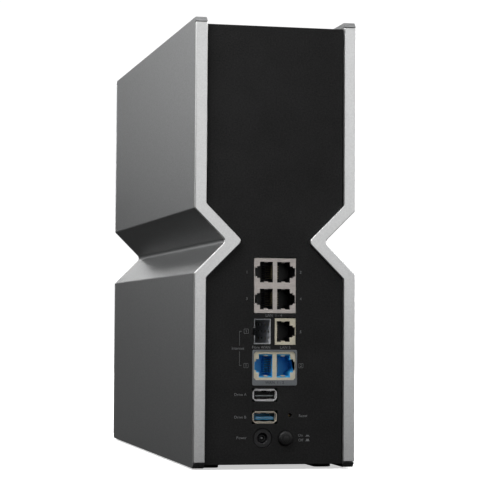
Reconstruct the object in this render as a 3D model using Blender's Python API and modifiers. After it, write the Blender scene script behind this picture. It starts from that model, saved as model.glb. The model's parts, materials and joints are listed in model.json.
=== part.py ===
"""Hourglass tower router with its ports at the back, modelled as the separate parts it comes apart into.

Units are metres. +Z is up, the display side faces -Y and the ports face +Y. The origin lies on the
surface that the feet stand on, under the middle of the body.
"""

import math

import bmesh
import bpy
from mathutils import Matrix, Vector

# Clearances
GAP = 0.0003  # left between two pieces that touch
RUNNING_GAP = 0.0002  # round a piece that slides in a hole
PANEL_GAP = 0.0004  # between the trim and the panel that it frames
NECK_CLEARANCE = 0.00158  # between the boards and the waist of the side frames

# Overall
OVERALL_WIDTH = 0.096
OVERALL_DEPTH = 0.302
OVERALL_HEIGHT = 0.2625

# Side covers and their trims
COVER_LIFT = 0.001  # height of the covers above the floor
COVER_THICKNESS = 0.0068
COVER_SKIN = 0.0022
COVER_RIM = 0.003
END_CHAMFER = 0.003
TRIM_DEPTH = 0.003
WAIST_HEIGHT = 0.1324
WAIST_SLOPE = math.radians(45)
WAIST_RADIUS = 0.0027
CORNER_RADIUS = 0.0015
CORNER_STEPS = 4

# Inner body
BODY_BOTTOM = 0.0029
BODY_TOP_DROP = 0.004  # how far the body's top lies below the covers' top
FRAME_THICKNESS = 0.002
PANEL_RECESS = 0.0025
PANEL_THICKNESS = 0.0025
LENS_RECESS = 0.0015
LENS_THICKNESS = 0.0015
BEZEL_THICKNESS = 0.002
GRILLE_THICKNESS = 0.0025
BASE_THICKNESS = 0.0025

# Vents
VENT_SLOT_WIDTH = 0.003
VENT_PITCH = 0.008
GRILLE_BORDER = 0.009
BASE_VENT_LENGTH = 0.044
BASE_VENT_SPAN = 0.190

# Feet
FOOT_WIDTH = 0.011
FOOT_LENGTH = 0.026
FOOT_SETBACK = 0.020  # from the rear of the covers to the foot
FOOT_MARGIN = 0.0014  # from the base plate's edge to the foot
FOOT_SINK = 0.0008  # depth of the seat that holds a foot
FOOT_CORNER = 0.003

# Network jacks
JACK_SETBACK = 0.0003  # the jacks' faces lie this far inside the rear panel's face
JACK_DEPTH = 0.027
JACK_X = -0.00035  # the middle of the network jacks
JACK_HALF_WIDTH = 0.0125
SHEET = 0.0003
LAN_BLOCK_Z = 0.1067
LAN_BLOCK_HEIGHT = 0.0320
LAN_PITCH = 0.0157
WAN_BLOCK_Z = 0.06005
WAN_BLOCK_HEIGHT = 0.0166
SINGLE_JACK_Z = 0.080
SINGLE_JACK_HEIGHT = 0.0155
SOCKET_INNER_X = 0.0013
SOCKET_WIDTH = 0.0120
SOCKET_HEIGHT = 0.0077
SOCKET_STEP_WIDTH = 0.0069
SOCKET_STEP = 0.0017
SOCKET_LATCH_WIDTH = 0.0050
SOCKET_LATCH = 0.0009
SOCKET_DEPTH = 0.014
LATCH_LIP = 0.00045  # how much of the housing's face shows past the latch, inside the shield's opening
WAN_LIP = 0.0008  # how much of the blue housing's face shows beside the hollow
WAN_SIDE_LIP = 0.0004

# Fibre module cage
CAGE_INNER_X = 0.00215
CAGE_WIDTH = 0.00975
CAGE_HEIGHT = 0.0145
CAGE_DEPTH = 0.048
CAGE_Z = 0.08005
CAGE_NOTCH_HEIGHT = 0.0044
CAGE_NOTCH_DEPTH = 0.009
CAGE_CONNECTOR_LENGTH = 0.010
CAGE_CONNECTOR_WIDTH = 0.0055
CAGE_CONNECTOR_HEIGHT = 0.0115
CAGE_CARD_SLOT = 0.0012
CAGE_CARD_SLOT_MARGIN = 0.0009
CAGE_CARD_SLOT_DEPTH = 0.005

# USB sockets
USB_X = 0.0054
USB_ZS = {"usb2": 0.0431, "usb3": 0.0302}
USB_WIDTH = 0.0131
USB_HEIGHT = 0.0057
USB_FLARE = 0.00075
USB_FLARE_DEPTH = 0.0008
USB_DEPTH = 0.0165
USB_CHAMFER = 0.0018
USB_TONGUE_WIDTH = 0.0111
USB_TONGUE_THICKNESS = 0.0018
USB_TONGUE_DROP = 0.0005
USB_TONGUE_SETBACK = 0.0012
USB_BACK_THICKNESS = 0.0036

# Power inlet
INLET_X = 0.0066
INLET_Z = 0.0181
INLET_NOSE_RADIUS = 0.0054
INLET_MOUTH_RADIUS = 0.0032
INLET_MOUTH_DEPTH = 0.0006
INLET_BORE_RADIUS = 0.0028
INLET_BORE_DEPTH = 0.0095
INLET_PIN_RADIUS = 0.00065
INLET_PIN_SETBACK = 0.0022  # from the rear panel's face to the pin's tip
INLET_BODY_DEPTH = 0.011
INLET_BODY_HEIGHT = 0.0105
INLET_BODY_INNER_X = 0.0022

# Power button
BUTTON_X = -0.0070
BUTTON_Z = 0.0180
BUTTON_RADIUS = 0.0042
BUTTON_PROUD = 0.0024
BUTTON_SKIRT = 0.0060
BUTTON_FILLET = 0.0012
BUTTON_TRAVEL = 0.0020
STEM_RADIUS = 0.0016
STEM_LENGTH = 0.0060
SWITCH_DEPTH = 0.010
SWITCH_HEIGHT = 0.0085
SWITCH_INNER_X = -0.0029

# Reset button
RESET_X = -0.0097
RESET_Z = 0.0314
RESET_HOLE_RADIUS = 0.0011
RESET_PLUNGER_RADIUS = 0.0016
RESET_PLUNGER_PROUD = 0.0012
RESET_PLUNGER_SINK = 0.0012
RESET_TRAVEL = 0.0003
RESET_SETBACK = 0.0030  # from the panel's inner face to the plunger's tip
RESET_BODY = 0.0060
RESET_BODY_DEPTH = 0.0035

# Boards
BOARD_THICKNESS = 0.0016
IO_BOARD_CLEARANCE = 0.00115  # from the widest jacks to the port board
BOARD_EDGE_GAP = 0.0005
MAIN_BOARD_BOTTOM = 0.009
MAIN_BOARD_TOP_GAP = 0.012
MAIN_BOARD_FRONT_GAP = 0.030
IO_BOARD_LENGTH = 0.050
IO_BOARD_RISE = 0.0022  # how far the board reaches above the fibre cage
LINK_WIDTH = 0.006
LINK_HEIGHT = 0.024
LINK_Z = 0.048

# Parts on the boards
PROCESSOR_SIZE = 0.030
PROCESSOR_THICKNESS = 0.0018
PROCESSOR_Y = 0.030
PROCESSOR_Z = 0.062
SHIELD_CAN_HEIGHT = 0.0035
UPPER_CAN_LENGTH = 0.110
UPPER_CAN_MARGIN = 0.0172  # above and below the can, to the board's top and to the waist
UPPER_CAN_Y = 0.010
LOWER_CAN_LENGTH = 0.060
LOWER_CAN_HEIGHT = 0.040
LOWER_CAN_Y = 0.020
LOWER_CAN_Z = 0.060

# Heatsinks
SINK_BASE = 0.004
SINK_FIN = 0.0016
SINK_FIN_PITCH = 0.0115
SINK_LENGTH = 0.150
SINK_MARGIN = 0.005  # from the lobes' sloping walls to a heatsink
SINK_Y = 0.010
UPPER_SINK_REACH = 0.022  # x of the upper heatsink's fin tips

# Fasteners
SCREW_RADIUS = 0.0013
SCREW_HEAD_RADIUS = 0.0026
SCREW_HEAD_HEIGHT = 0.0016
SCREW_RECESS = 0.0008
SCREW_DRIVE_WIDTH = 0.0006
SCREW_DRIVE_SHARE = 0.65  # length of a drive slot's arm as a share of the head's radius
BOSS_RADIUS = 0.0035
BASE_SCREW_INSET = 0.0069  # from the base plate's edge to the screw's axis
BASE_SCREW_SETBACK = 0.059  # from the end of the body to the screw's axis
BASE_SCREW_LENGTH = 0.010
BASE_BOSS_HEIGHT = 0.011
BOARD_SCREW_LENGTH = 0.007
BOARD_SCREW_INSET = 0.009

# Front display
BEZEL_MARGIN = 0.009
LED_BOARD_THICKNESS = 0.0016
DOT_HEIGHT = 0.0008
DOT_PITCH = 0.0058
DOT_BORDER = 0.006  # from the window's edge to the outermost dots' cells
TOUCH_WIDTH = 0.044
TOUCH_HEIGHT = 0.060
TOUCH_THICKNESS = 0.0035
FLEX_WIDTH = 0.012
FLEX_THICKNESS = 0.0004

# Facets round the turned and round shapes
ROUND_SIDES = 32
HOLE_SIDES = 16
SCREW_HEAD_SIDES = 20
SCREW_SIDES = 12
ARC_STEPS = 6

# Antennas
ANTENNA_LENGTH = 0.070
ANTENNA_HEIGHT = 0.022
ANTENNA_THICKNESS = 0.001
ANTENNA_Y = 0.085
LEAD_RADIUS = 0.0007
LEAD_HOLE_RADIUS = 0.0016
LEAD_DROP = 0.020
LEAD_BEND = 0.0021  # the lead's bend from the frame's face into the hole
LEAD_BEND_EASE = 0.3  # how far along both legs of the bend its middle point lies
LEAD_TIP = 0.0028  # from the frame's inner face to the lead's end

# Worked-out places
REAR_Y = OVERALL_DEPTH / 2
FRONT_Y = -OVERALL_DEPTH / 2
HALF_WIDTH = OVERALL_WIDTH / 2
PANEL_Y = REAR_Y - PANEL_RECESS
PANEL_BACK_Y = PANEL_Y - PANEL_THICKNESS
JACK_Y = PANEL_Y - JACK_SETBACK
LENS_Y = FRONT_Y + LENS_RECESS
BEZEL_Y = LENS_Y + LENS_THICKNESS + GAP
BEZEL_BACK_Y = BEZEL_Y + BEZEL_THICKNESS
BODY_TOP = OVERALL_HEIGHT - BODY_TOP_DROP
TRIM_LOW = COVER_LIFT + END_CHAMFER + GAP
TRIM_HIGH = OVERALL_HEIGHT - END_CHAMFER - GAP
FRAME_INSET = COVER_THICKNESS + GAP
FRAME_INNER_INSET = FRAME_INSET + FRAME_THICKNESS
FRAME_LOW = BODY_BOTTOM + BASE_THICKNESS + GAP
FRAME_HIGH = BODY_TOP - GRILLE_THICKNESS - GAP
FRAME_FRONT = BEZEL_BACK_Y + GAP
FRAME_REAR = PANEL_BACK_Y - GAP
MAIN_BOARD_FACE = JACK_X - JACK_HALF_WIDTH - GAP
IO_BOARD_FACE = JACK_X + JACK_HALF_WIDTH + IO_BOARD_CLEARANCE
BOARD_HALF_SPAN = max(IO_BOARD_FACE, -MAIN_BOARD_FACE) + BOARD_THICKNESS
NECK_INNER = BOARD_HALF_SPAN + NECK_CLEARANCE
NECK_HALF_WIDTH = NECK_INNER + FRAME_INNER_INSET / math.cos(WAIST_SLOPE)
WAIST_HALF_HEIGHT = (HALF_WIDTH - NECK_HALF_WIDTH) / math.tan(WAIST_SLOPE)
LOBE_INNER_X = HALF_WIDTH - FRAME_INNER_INSET
LOBE_SHIFT = FRAME_INNER_INSET * math.tan(WAIST_SLOPE / 2)
UPPER_LOBE_LOW = WAIST_HEIGHT + WAIST_HALF_HEIGHT + LOBE_SHIFT
LOWER_LOBE_HIGH = WAIST_HEIGHT - WAIST_HALF_HEIGHT - LOBE_SHIFT
BOARD_REAR = PANEL_BACK_Y - BOARD_EDGE_GAP
MAIN_BOARD_FRONT = FRAME_FRONT + MAIN_BOARD_FRONT_GAP
MAIN_BOARD_TOP = FRAME_HIGH - MAIN_BOARD_TOP_GAP
UPPER_CAN_LOW = UPPER_LOBE_LOW + UPPER_CAN_MARGIN
UPPER_CAN_HIGH = MAIN_BOARD_TOP - UPPER_CAN_MARGIN
FOOT_X = HALF_WIDTH - FRAME_INSET - FOOT_MARGIN - FOOT_WIDTH / 2
BASE_SCREW_X = HALF_WIDTH - FRAME_INSET - BASE_SCREW_INSET
BASE_SCREW_Y = REAR_Y - BASE_SCREW_SETBACK
IO_BOARD_TOP = CAGE_Z + CAGE_HEIGHT / 2 + IO_BOARD_RISE
LAN_SOCKET_ZS = (LAN_BLOCK_Z + LAN_PITCH / 2, LAN_BLOCK_Z - LAN_PITCH / 2)

FINISHES = {
    "grey_paint": ((0.16, 0.165, 0.17), 0.42, 0.75),
    "silver_paint": ((0.62, 0.63, 0.63), 0.38, 0.80),
    "black_plastic": ((0.018, 0.018, 0.019), 0.62, 0.0),
    "inner_plastic": ((0.030, 0.030, 0.032), 0.55, 0.0),
    "gloss_lens": ((0.008, 0.008, 0.010), 0.08, 0.0),
    "rubber": ((0.020, 0.020, 0.020), 0.80, 0.0),
    "jack_metal": ((0.55, 0.53, 0.50), 0.35, 1.0),
    "cage_metal": ((0.40, 0.41, 0.43), 0.35, 1.0),
    "steel": ((0.55, 0.55, 0.56), 0.30, 1.0),
    "socket_black": ((0.015, 0.015, 0.016), 0.45, 0.0),
    "socket_blue": ((0.02, 0.20, 0.58), 0.40, 0.0),
    "circuit_board": ((0.012, 0.085, 0.035), 0.45, 0.0),
    "chip_black": ((0.020, 0.020, 0.022), 0.35, 0.0),
    "aluminium": ((0.70, 0.71, 0.72), 0.40, 1.0),
    "display_glass": ((0.010, 0.011, 0.014), 0.10, 0.0),
    "flex_amber": ((0.45, 0.20, 0.03), 0.40, 0.0),
    "brass": ((0.70, 0.52, 0.25), 0.30, 1.0),
}


def start_scene():
    """Empties the scene and adds the two collections that the parts and the cutters go in."""
    for obj in list(bpy.data.objects):
        bpy.data.objects.remove(obj)
    for name in ("Tower router", "Cutters"):
        bpy.context.scene.collection.children.link(bpy.data.collections.new(name))


def finish_material(name):
    """The named finish as a Principled material, made the first time that it is asked for."""
    if name in bpy.data.materials:
        return bpy.data.materials[name]
    colour, roughness, metallic = FINISHES[name]
    made = bpy.data.materials.new(name)
    made.use_nodes = True
    shader = made.node_tree.nodes["Principled BSDF"]
    shader.inputs["Base Color"].default_value = (*colour, 1)
    shader.inputs["Roughness"].default_value = roughness
    shader.inputs["Metallic"].default_value = metallic
    return made


def place(obj, finish):
    """Moves an object to the parts' collection, or to the cutters' when it has no finish."""
    for owner in list(obj.users_collection):
        owner.objects.unlink(obj)
    if finish is None:
        bpy.data.collections["Cutters"].objects.link(obj)
        obj.hide_render = True
        obj.display_type = "WIRE"
    else:
        bpy.data.collections["Tower router"].objects.link(obj)
        obj.data.materials.clear()
        obj.data.materials.append(finish_material(finish))
    return obj


def block(name, low, high, finish=None):
    """A box between two corners, with its origin at its middle."""
    low, high = Vector(low), Vector(high)
    bpy.ops.mesh.primitive_cube_add(size=1, location=(low + high) / 2)
    obj = bpy.context.object
    obj.name = name
    obj.data.transform(Matrix.Diagonal((*(high - low), 1)))
    return place(obj, finish)


def cylinder(name, radius, start, end, finish=None, sides=24):
    """A cylinder from one point to another, which lie on a line along X, Y or Z."""
    start, end = Vector(start), Vector(end)
    along = end - start
    bpy.ops.mesh.primitive_cylinder_add(vertices=sides, radius=radius, depth=along.length)
    obj = bpy.context.object
    obj.name = name
    obj.location = (start + end) / 2
    obj.rotation_euler = along.to_track_quat("Z", "Y").to_euler()
    obj.data.shade_smooth()
    obj.data.set_sharp_from_angle(angle=math.radians(30))
    return place(obj, finish)


def rounded(corners, steps=CORNER_STEPS):
    """The points of a closed outline whose corners, given as (u, v, radius), are rounded by arcs."""
    points = []
    for index, (u, v, radius) in enumerate(corners):
        corner = Vector((u, v))
        if radius == 0:
            points.append(corner)
            continue
        before = (Vector(corners[index - 1][:2]) - corner).normalized()
        after = (Vector(corners[(index + 1) % len(corners)][:2]) - corner).normalized()
        half = before.angle(after) / 2
        centre = corner + (before + after).normalized() * radius / math.sin(half)
        spoke = corner + before * radius / math.tan(half) - centre
        turn = math.copysign(math.pi - 2 * half, before.x * after.y - before.y * after.x)
        for step in range(steps + 1):
            spoke_now = Matrix.Rotation(-turn * step / steps, 2) @ spoke
            points.append(centre + spoke_now)
    return points


def slab(name, outlines, plane, low, high, finish=None):
    """A flat piece of the given outlines, the later ones being holes, between two places along its normal."""
    curve = bpy.data.curves.new(name, "CURVE")
    curve.dimensions = "2D"
    curve.fill_mode = "BOTH"
    curve.extrude = (high - low) / 2
    for outline in outlines:
        spline = curve.splines.new("POLY")
        spline.points.add(len(outline) - 1)
        spline.points.foreach_set("co", [n for u, v in outline for n in (u, v, 0, 1)])
        spline.use_cyclic_u = True
    obj = bpy.data.objects.new(name, curve)
    bpy.context.scene.collection.objects.link(obj)
    middle = (low + high) / 2
    if plane == "XZ":
        obj.location = (0, middle, 0)
        obj.rotation_euler = (math.pi / 2, 0, 0)
    elif plane == "YZ":
        obj.location = (middle, 0, 0)
        obj.rotation_euler = (math.pi / 2, 0, math.pi / 2)
    else:
        obj.location = (0, 0, middle)
    return place(as_mesh(obj), finish)


def as_mesh(curve_object):
    """The curve object as a mesh object with its caps welded to its sides, in the same place."""
    bpy.context.view_layer.update()
    evaluated = curve_object.evaluated_get(bpy.context.evaluated_depsgraph_get())
    mesh = bpy.data.meshes.new_from_object(evaluated)
    welded = bmesh.new()
    welded.from_mesh(mesh)
    bmesh.ops.remove_doubles(welded, verts=welded.verts, dist=0.000002)
    bmesh.ops.recalc_face_normals(welded, faces=welded.faces)
    welded.to_mesh(mesh)
    welded.free()
    name = curve_object.name
    obj = bpy.data.objects.new(name + "_mesh", mesh)
    bpy.context.scene.collection.objects.link(obj)
    obj.matrix_world = curve_object.matrix_world
    bpy.data.objects.remove(curve_object)
    obj.name = name
    return obj


def turned(name, profile, centre, finish=None, steps=28):
    """A piece turned about a line along +Y: the profile's points are (radius, distance towards +Y)."""
    mesh = bpy.data.meshes.new(name)
    points = [(radius, 0, along) for radius, along in profile]
    mesh.from_pydata(points, [(n, n + 1) for n in range(len(points) - 1)], [])
    obj = bpy.data.objects.new(name, mesh)
    bpy.context.scene.collection.objects.link(obj)
    screw = obj.modifiers.new("Turn", "SCREW")
    screw.steps = steps
    screw.render_steps = steps
    screw.use_merge_vertices = True
    screw.merge_threshold = 0.00001
    obj.location = centre
    obj.rotation_euler = (-math.pi / 2, 0, 0)
    return place(obj, finish)


def tube(name, points, radius, finish):
    """A round wire along the points."""
    curve = bpy.data.curves.new(name, "CURVE")
    curve.dimensions = "3D"
    curve.bevel_depth = radius
    curve.bevel_resolution = 2
    curve.use_fill_caps = True
    spline = curve.splines.new("POLY")
    spline.points.add(len(points) - 1)
    spline.points.foreach_set("co", [n for point in points for n in (*point, 1)])
    obj = bpy.data.objects.new(name, curve)
    bpy.context.scene.collection.objects.link(obj)
    return place(as_mesh(obj), finish)


def apply_boolean(target, others, operation):
    """Cuts the other meshes from the target, or joins them to it, and keeps them as hidden helpers."""
    for other in others:
        modifier = target.modifiers.new(other.name, "BOOLEAN")
        modifier.operation = operation
        modifier.solver = "EXACT"
        modifier.object = other
    return target


def cut(target, *others):
    """Takes the others away from the target."""
    return apply_boolean(target, others, "DIFFERENCE")


def join(target, *others):
    """Joins the others to the target."""
    return apply_boolean(target, others, "UNION")


def side_corners(inset, low, high):
    """The waisted side line at this inset from the covers' outer face, from low to high, at +X."""
    wall_x = HALF_WIDTH - inset
    corner_shift = inset * math.tan(WAIST_SLOPE / 2)
    reach = WAIST_HALF_HEIGHT + corner_shift
    tip_x = NECK_HALF_WIDTH - inset / math.cos(WAIST_SLOPE)
    return [
        (wall_x, low, 0),
        (wall_x, WAIST_HEIGHT - reach, CORNER_RADIUS),
        (tip_x, WAIST_HEIGHT, WAIST_RADIUS),
        (wall_x, WAIST_HEIGHT + reach, CORNER_RADIUS),
        (wall_x, high, 0),
    ]


def band(outer_inset, inner_inset, low, high, side):
    """The outline between two insets of the side line, on the +X side or the -X side."""
    corners = side_corners(outer_inset, low, high) + side_corners(inner_inset, low, high)[::-1]
    return [(side * u, v) for u, v in rounded(corners)]


def hourglass(inset, low, high):
    """The whole waisted outline of the body at this inset from the covers' outer faces."""
    right = side_corners(inset, low, high)
    left = [(-x, z, radius) for x, z, radius in reversed(right)]
    return rounded(right + left)


def rectangle(u_low, u_high, v_low, v_high, radius=0.0):
    """The outline of a rectangle with rounded corners."""
    corners = [(u_low, v_low), (u_high, v_low), (u_high, v_high), (u_low, v_high)]
    return rounded([(u, v, radius) for u, v in corners])


def make_side_cover(side, name):
    """The outer cover of one side: a waisted skin with a rim all round and bevelled ends."""
    low, high = COVER_LIFT, OVERALL_HEIGHT
    cover = slab(name, [band(0, COVER_THICKNESS, low, high, side)], "XZ", FRONT_Y, REAR_Y, "grey_paint")
    ends = [(FRONT_Y, low), (REAR_Y, low), (REAR_Y, high), (FRONT_Y, high)]
    bevelled = []
    for y, z in ends:
        y_in = y - math.copysign(END_CHAMFER, y)
        z_in = z + math.copysign(END_CHAMFER, WAIST_HEIGHT - z)
        pair = [(y, z_in), (y_in, z)]
        bevelled += pair if (y < 0) != (z > WAIST_HEIGHT) else pair[::-1]
    envelope = slab(name + "_ends", [bevelled], "YZ", -OVERALL_WIDTH, OVERALL_WIDTH)
    apply_boolean(cover, [envelope], "INTERSECT")
    for label, y_low, y_high in (
        ("_rear_seat", REAR_Y - TRIM_DEPTH - GAP, REAR_Y + TRIM_DEPTH),
        ("_front_seat", FRONT_Y - TRIM_DEPTH, FRONT_Y + TRIM_DEPTH + GAP),
    ):
        seat_low = (-OVERALL_WIDTH, y_low, TRIM_LOW - GAP)
        seat_high = (OVERALL_WIDTH, y_high, TRIM_HIGH + GAP)
        cut(cover, block(name + label, seat_low, seat_high))
    wall = TRIM_DEPTH + GAP + COVER_RIM
    hollow_low, hollow_high = low + COVER_RIM, high - COVER_RIM
    hollow = side_corners(COVER_SKIN, hollow_low, hollow_high)
    hollow += [(0, hollow_high, 0), (0, hollow_low, 0)]
    outline = [(side * u, v) for u, v in rounded(hollow)]
    cut(cover, slab(name + "_hollow", [outline], "XZ", FRONT_Y + wall, REAR_Y - wall))


def make_trims(side, word):
    """The bright strips that frame the rear and front edges of one side cover."""
    outline = band(0, COVER_THICKNESS, TRIM_LOW, TRIM_HIGH, side)
    slab(f"rear_trim_{word}", [outline], "XZ", REAR_Y - TRIM_DEPTH, REAR_Y, "silver_paint")
    slab(f"front_trim_{word}", [outline], "XZ", FRONT_Y, FRONT_Y + TRIM_DEPTH, "silver_paint")


def board_screw_places():
    """(y, z) of the four screws that hold the main board."""
    ys = (MAIN_BOARD_FRONT + BOARD_SCREW_INSET, BOARD_REAR - JACK_DEPTH - BOARD_SCREW_INSET)
    zs = (MAIN_BOARD_BOTTOM + BOARD_SCREW_INSET, MAIN_BOARD_TOP - BOARD_SCREW_INSET)
    return [(y, z) for y in ys for z in zs]


def antenna_middle_z():
    """Height of the antennas' middle."""
    return (UPPER_LOBE_LOW + FRAME_HIGH) / 2


def lead_hole_z():
    """Height of the holes that the antennas' leads go in through."""
    return antenna_middle_z() - ANTENNA_HEIGHT / 2 - LEAD_DROP / 2


def make_side_frame(side, name):
    """The inner wall of one side, with the bosses that the base and the main board are screwed to."""
    outline = band(FRAME_INSET, FRAME_INNER_INSET, FRAME_LOW, FRAME_HIGH, side)
    frame = slab(name, [outline], "XZ", FRAME_FRONT, FRAME_REAR, "inner_plastic")
    wall_x = HALF_WIDTH - FRAME_INSET - FRAME_THICKNESS / 2
    for label, y in (("_front_boss", -BASE_SCREW_Y), ("_rear_boss", BASE_SCREW_Y)):
        inner = min(side * (BASE_SCREW_X - BOSS_RADIUS), side * wall_x)
        outer = max(side * (BASE_SCREW_X - BOSS_RADIUS), side * wall_x)
        foot = (inner, y - BOSS_RADIUS, FRAME_LOW)
        join(frame, block(name + label, foot, (outer, y + BOSS_RADIUS, FRAME_LOW + BASE_BOSS_HEIGHT)))
        hole_top = BODY_BOTTOM + BASE_SCREW_LENGTH + GAP
        start = (side * BASE_SCREW_X, y, 0)
        cut(frame, cylinder(name + label + "_hole", SCREW_RADIUS + GAP, start, (start[0], y, hole_top)))
    if side < 0:
        for number, (y, z) in enumerate(board_screw_places()):
            tip = MAIN_BOARD_FACE - BOARD_THICKNESS - GAP
            boss = f"{name}_post_{number}"
            join(frame, cylinder(boss, BOSS_RADIUS, (-wall_x, y, z), (tip, y, z)))
            end = tip - BOARD_SCREW_LENGTH
            cut(frame, cylinder(boss + "_hole", SCREW_RADIUS + GAP, (tip + BOSS_RADIUS, y, z), (end, y, z)))
    for label, y in (("_front_lead", -ANTENNA_Y), ("_rear_lead", ANTENNA_Y)):
        start = (side * (HALF_WIDTH + BOSS_RADIUS), y, lead_hole_z())
        end = (side * (LOBE_INNER_X - BOSS_RADIUS), y, lead_hole_z())
        cut(frame, cylinder(name + label, LEAD_HOLE_RADIUS, start, end))


def socket_outline(inner_x, z, side, lip=0.0, side_lip=0.0, latch_lip=0.0):
    """The stepped mouth of a network socket whose latch faces away from the middle, grown by its lips."""
    wall = inner_x + SOCKET_HEIGHT + side_lip
    step = wall + SOCKET_STEP
    latch = step + SOCKET_LATCH - side_lip + latch_lip
    ladder = [
        (inner_x, SOCKET_WIDTH / 2 + lip),
        (wall, SOCKET_WIDTH / 2 + lip),
        (wall, SOCKET_STEP_WIDTH / 2 + side_lip),
        (step, SOCKET_STEP_WIDTH / 2 + side_lip),
        (step, SOCKET_LATCH_WIDTH / 2),
        (latch, SOCKET_LATCH_WIDTH / 2),
    ]
    upper = [(JACK_X + side * u, z + v) for u, v in ladder]
    lower = [(JACK_X + side * u, z - v) for u, v in reversed(ladder)]
    return upper + lower


def make_jack(name, finish, x_low, x_high, z_low, z_high, sockets, lip=0.0, side_lip=0.0):
    """A network jack: a sheet shield open at the back, and the housing inside it with its sockets."""
    rear, front = JACK_Y - JACK_DEPTH, JACK_Y
    shield = block(f"{name}_shield", (x_low, rear, z_low), (x_high, front, z_high), "jack_metal")
    inside_low = (x_low + SHEET, rear - SHEET, z_low + SHEET)
    inside_high = (x_high - SHEET, front - SHEET, z_high - SHEET)
    cut(shield, block(f"{name}_inside", inside_low, inside_high))
    wall = SHEET + GAP
    housing_low = (x_low + wall, rear, z_low + wall)
    housing_high = (x_high - wall, front - wall, z_high - wall)
    housing = block(f"{name}_housing", housing_low, housing_high, finish)
    for number, (inner_x, z, side) in enumerate(sockets):
        mouth = socket_outline(inner_x, z, side, lip, side_lip, LATCH_LIP)
        cut(shield, slab(f"{name}_mouth_{number}", [mouth], "XZ", front - 2 * wall, front + wall))
        hole = socket_outline(inner_x, z, side)
        start = front - SOCKET_DEPTH
        cut(housing, slab(f"{name}_hole_{number}", [hole], "XZ", start, front + wall))


def make_jacks():
    """The four-socket block, the single socket and the blue two-socket block."""
    left, right = JACK_X - JACK_HALF_WIDTH, JACK_X + JACK_HALF_WIDTH
    inner = SOCKET_INNER_X
    half = LAN_BLOCK_HEIGHT / 2
    sockets = [(inner, z, side) for z in LAN_SOCKET_ZS for side in (1, -1)]
    make_jack("lan_jack", "socket_black", left, right, LAN_BLOCK_Z - half, LAN_BLOCK_Z + half, sockets)
    half = SINGLE_JACK_HEIGHT / 2
    low, high = SINGLE_JACK_Z - half, SINGLE_JACK_Z + half
    make_jack("single_jack", "socket_black", left, JACK_X, low, high, [(inner, SINGLE_JACK_Z, -1)])
    half = WAN_BLOCK_HEIGHT / 2
    low, high = WAN_BLOCK_Z - half, WAN_BLOCK_Z + half
    sockets = [(inner, WAN_BLOCK_Z, 1), (inner, WAN_BLOCK_Z, -1)]
    make_jack("wan_jack", "socket_blue", left, right, low, high, sockets, WAN_LIP, WAN_SIDE_LIP)


def make_fibre_cage():
    """The sheet cage that takes a fibre module, with the latch notch in its floor, and its connector."""
    x_low, x_high = CAGE_INNER_X, CAGE_INNER_X + CAGE_WIDTH
    z_low, z_high = CAGE_Z - CAGE_HEIGHT / 2, CAGE_Z + CAGE_HEIGHT / 2
    rear = JACK_Y - CAGE_DEPTH
    cage = block("fibre_cage", (x_low, rear, z_low), (x_high, JACK_Y, z_high), "cage_metal")
    inside_low = (x_low + SHEET, rear + SHEET, z_low + SHEET)
    inside_high = (x_high - SHEET, JACK_Y + SHEET, z_high - SHEET)
    cut(cage, block("fibre_cage_inside", inside_low, inside_high))
    notch_low = (x_high - 2 * SHEET, JACK_Y - CAGE_NOTCH_DEPTH, CAGE_Z - CAGE_NOTCH_HEIGHT / 2)
    notch_high = (x_high + SHEET, JACK_Y + SHEET, CAGE_Z + CAGE_NOTCH_HEIGHT / 2)
    cut(cage, block("fibre_cage_notch", notch_low, notch_high))
    x_end = x_high - SHEET - GAP
    start = rear + SHEET + GAP
    connector_low = (x_end - CAGE_CONNECTOR_WIDTH, start, CAGE_Z - CAGE_CONNECTOR_HEIGHT / 2)
    connector_high = (x_end, start + CAGE_CONNECTOR_LENGTH, CAGE_Z + CAGE_CONNECTOR_HEIGHT / 2)
    connector = block("fibre_connector", connector_low, connector_high, "socket_black")
    slot_middle = x_end - CAGE_CONNECTOR_WIDTH / 2
    slot_bottom = connector_high[1] - CAGE_CARD_SLOT_DEPTH
    half_slot = CAGE_CARD_SLOT / 2
    slot_low = (slot_middle - half_slot, slot_bottom, connector_low[2] + CAGE_CARD_SLOT_MARGIN)
    slot_high = (slot_middle + half_slot, connector_high[1] + GAP, connector_high[2] - CAGE_CARD_SLOT_MARGIN)
    cut(connector, block("fibre_connector_slot", slot_low, slot_high))


def chamfered(half_width, half_height, chamfer, x, z):
    """The outline of a rectangle with cut corners."""
    corners = []
    for u, v in ((1, 1), (-1, 1), (-1, -1), (1, -1)):
        pair = [
            (x + u * half_width, z + v * (half_height - chamfer)),
            (x + u * (half_width - chamfer), z + v * half_height),
        ]
        corners += pair if u * v > 0 else pair[::-1]
    return corners


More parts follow.
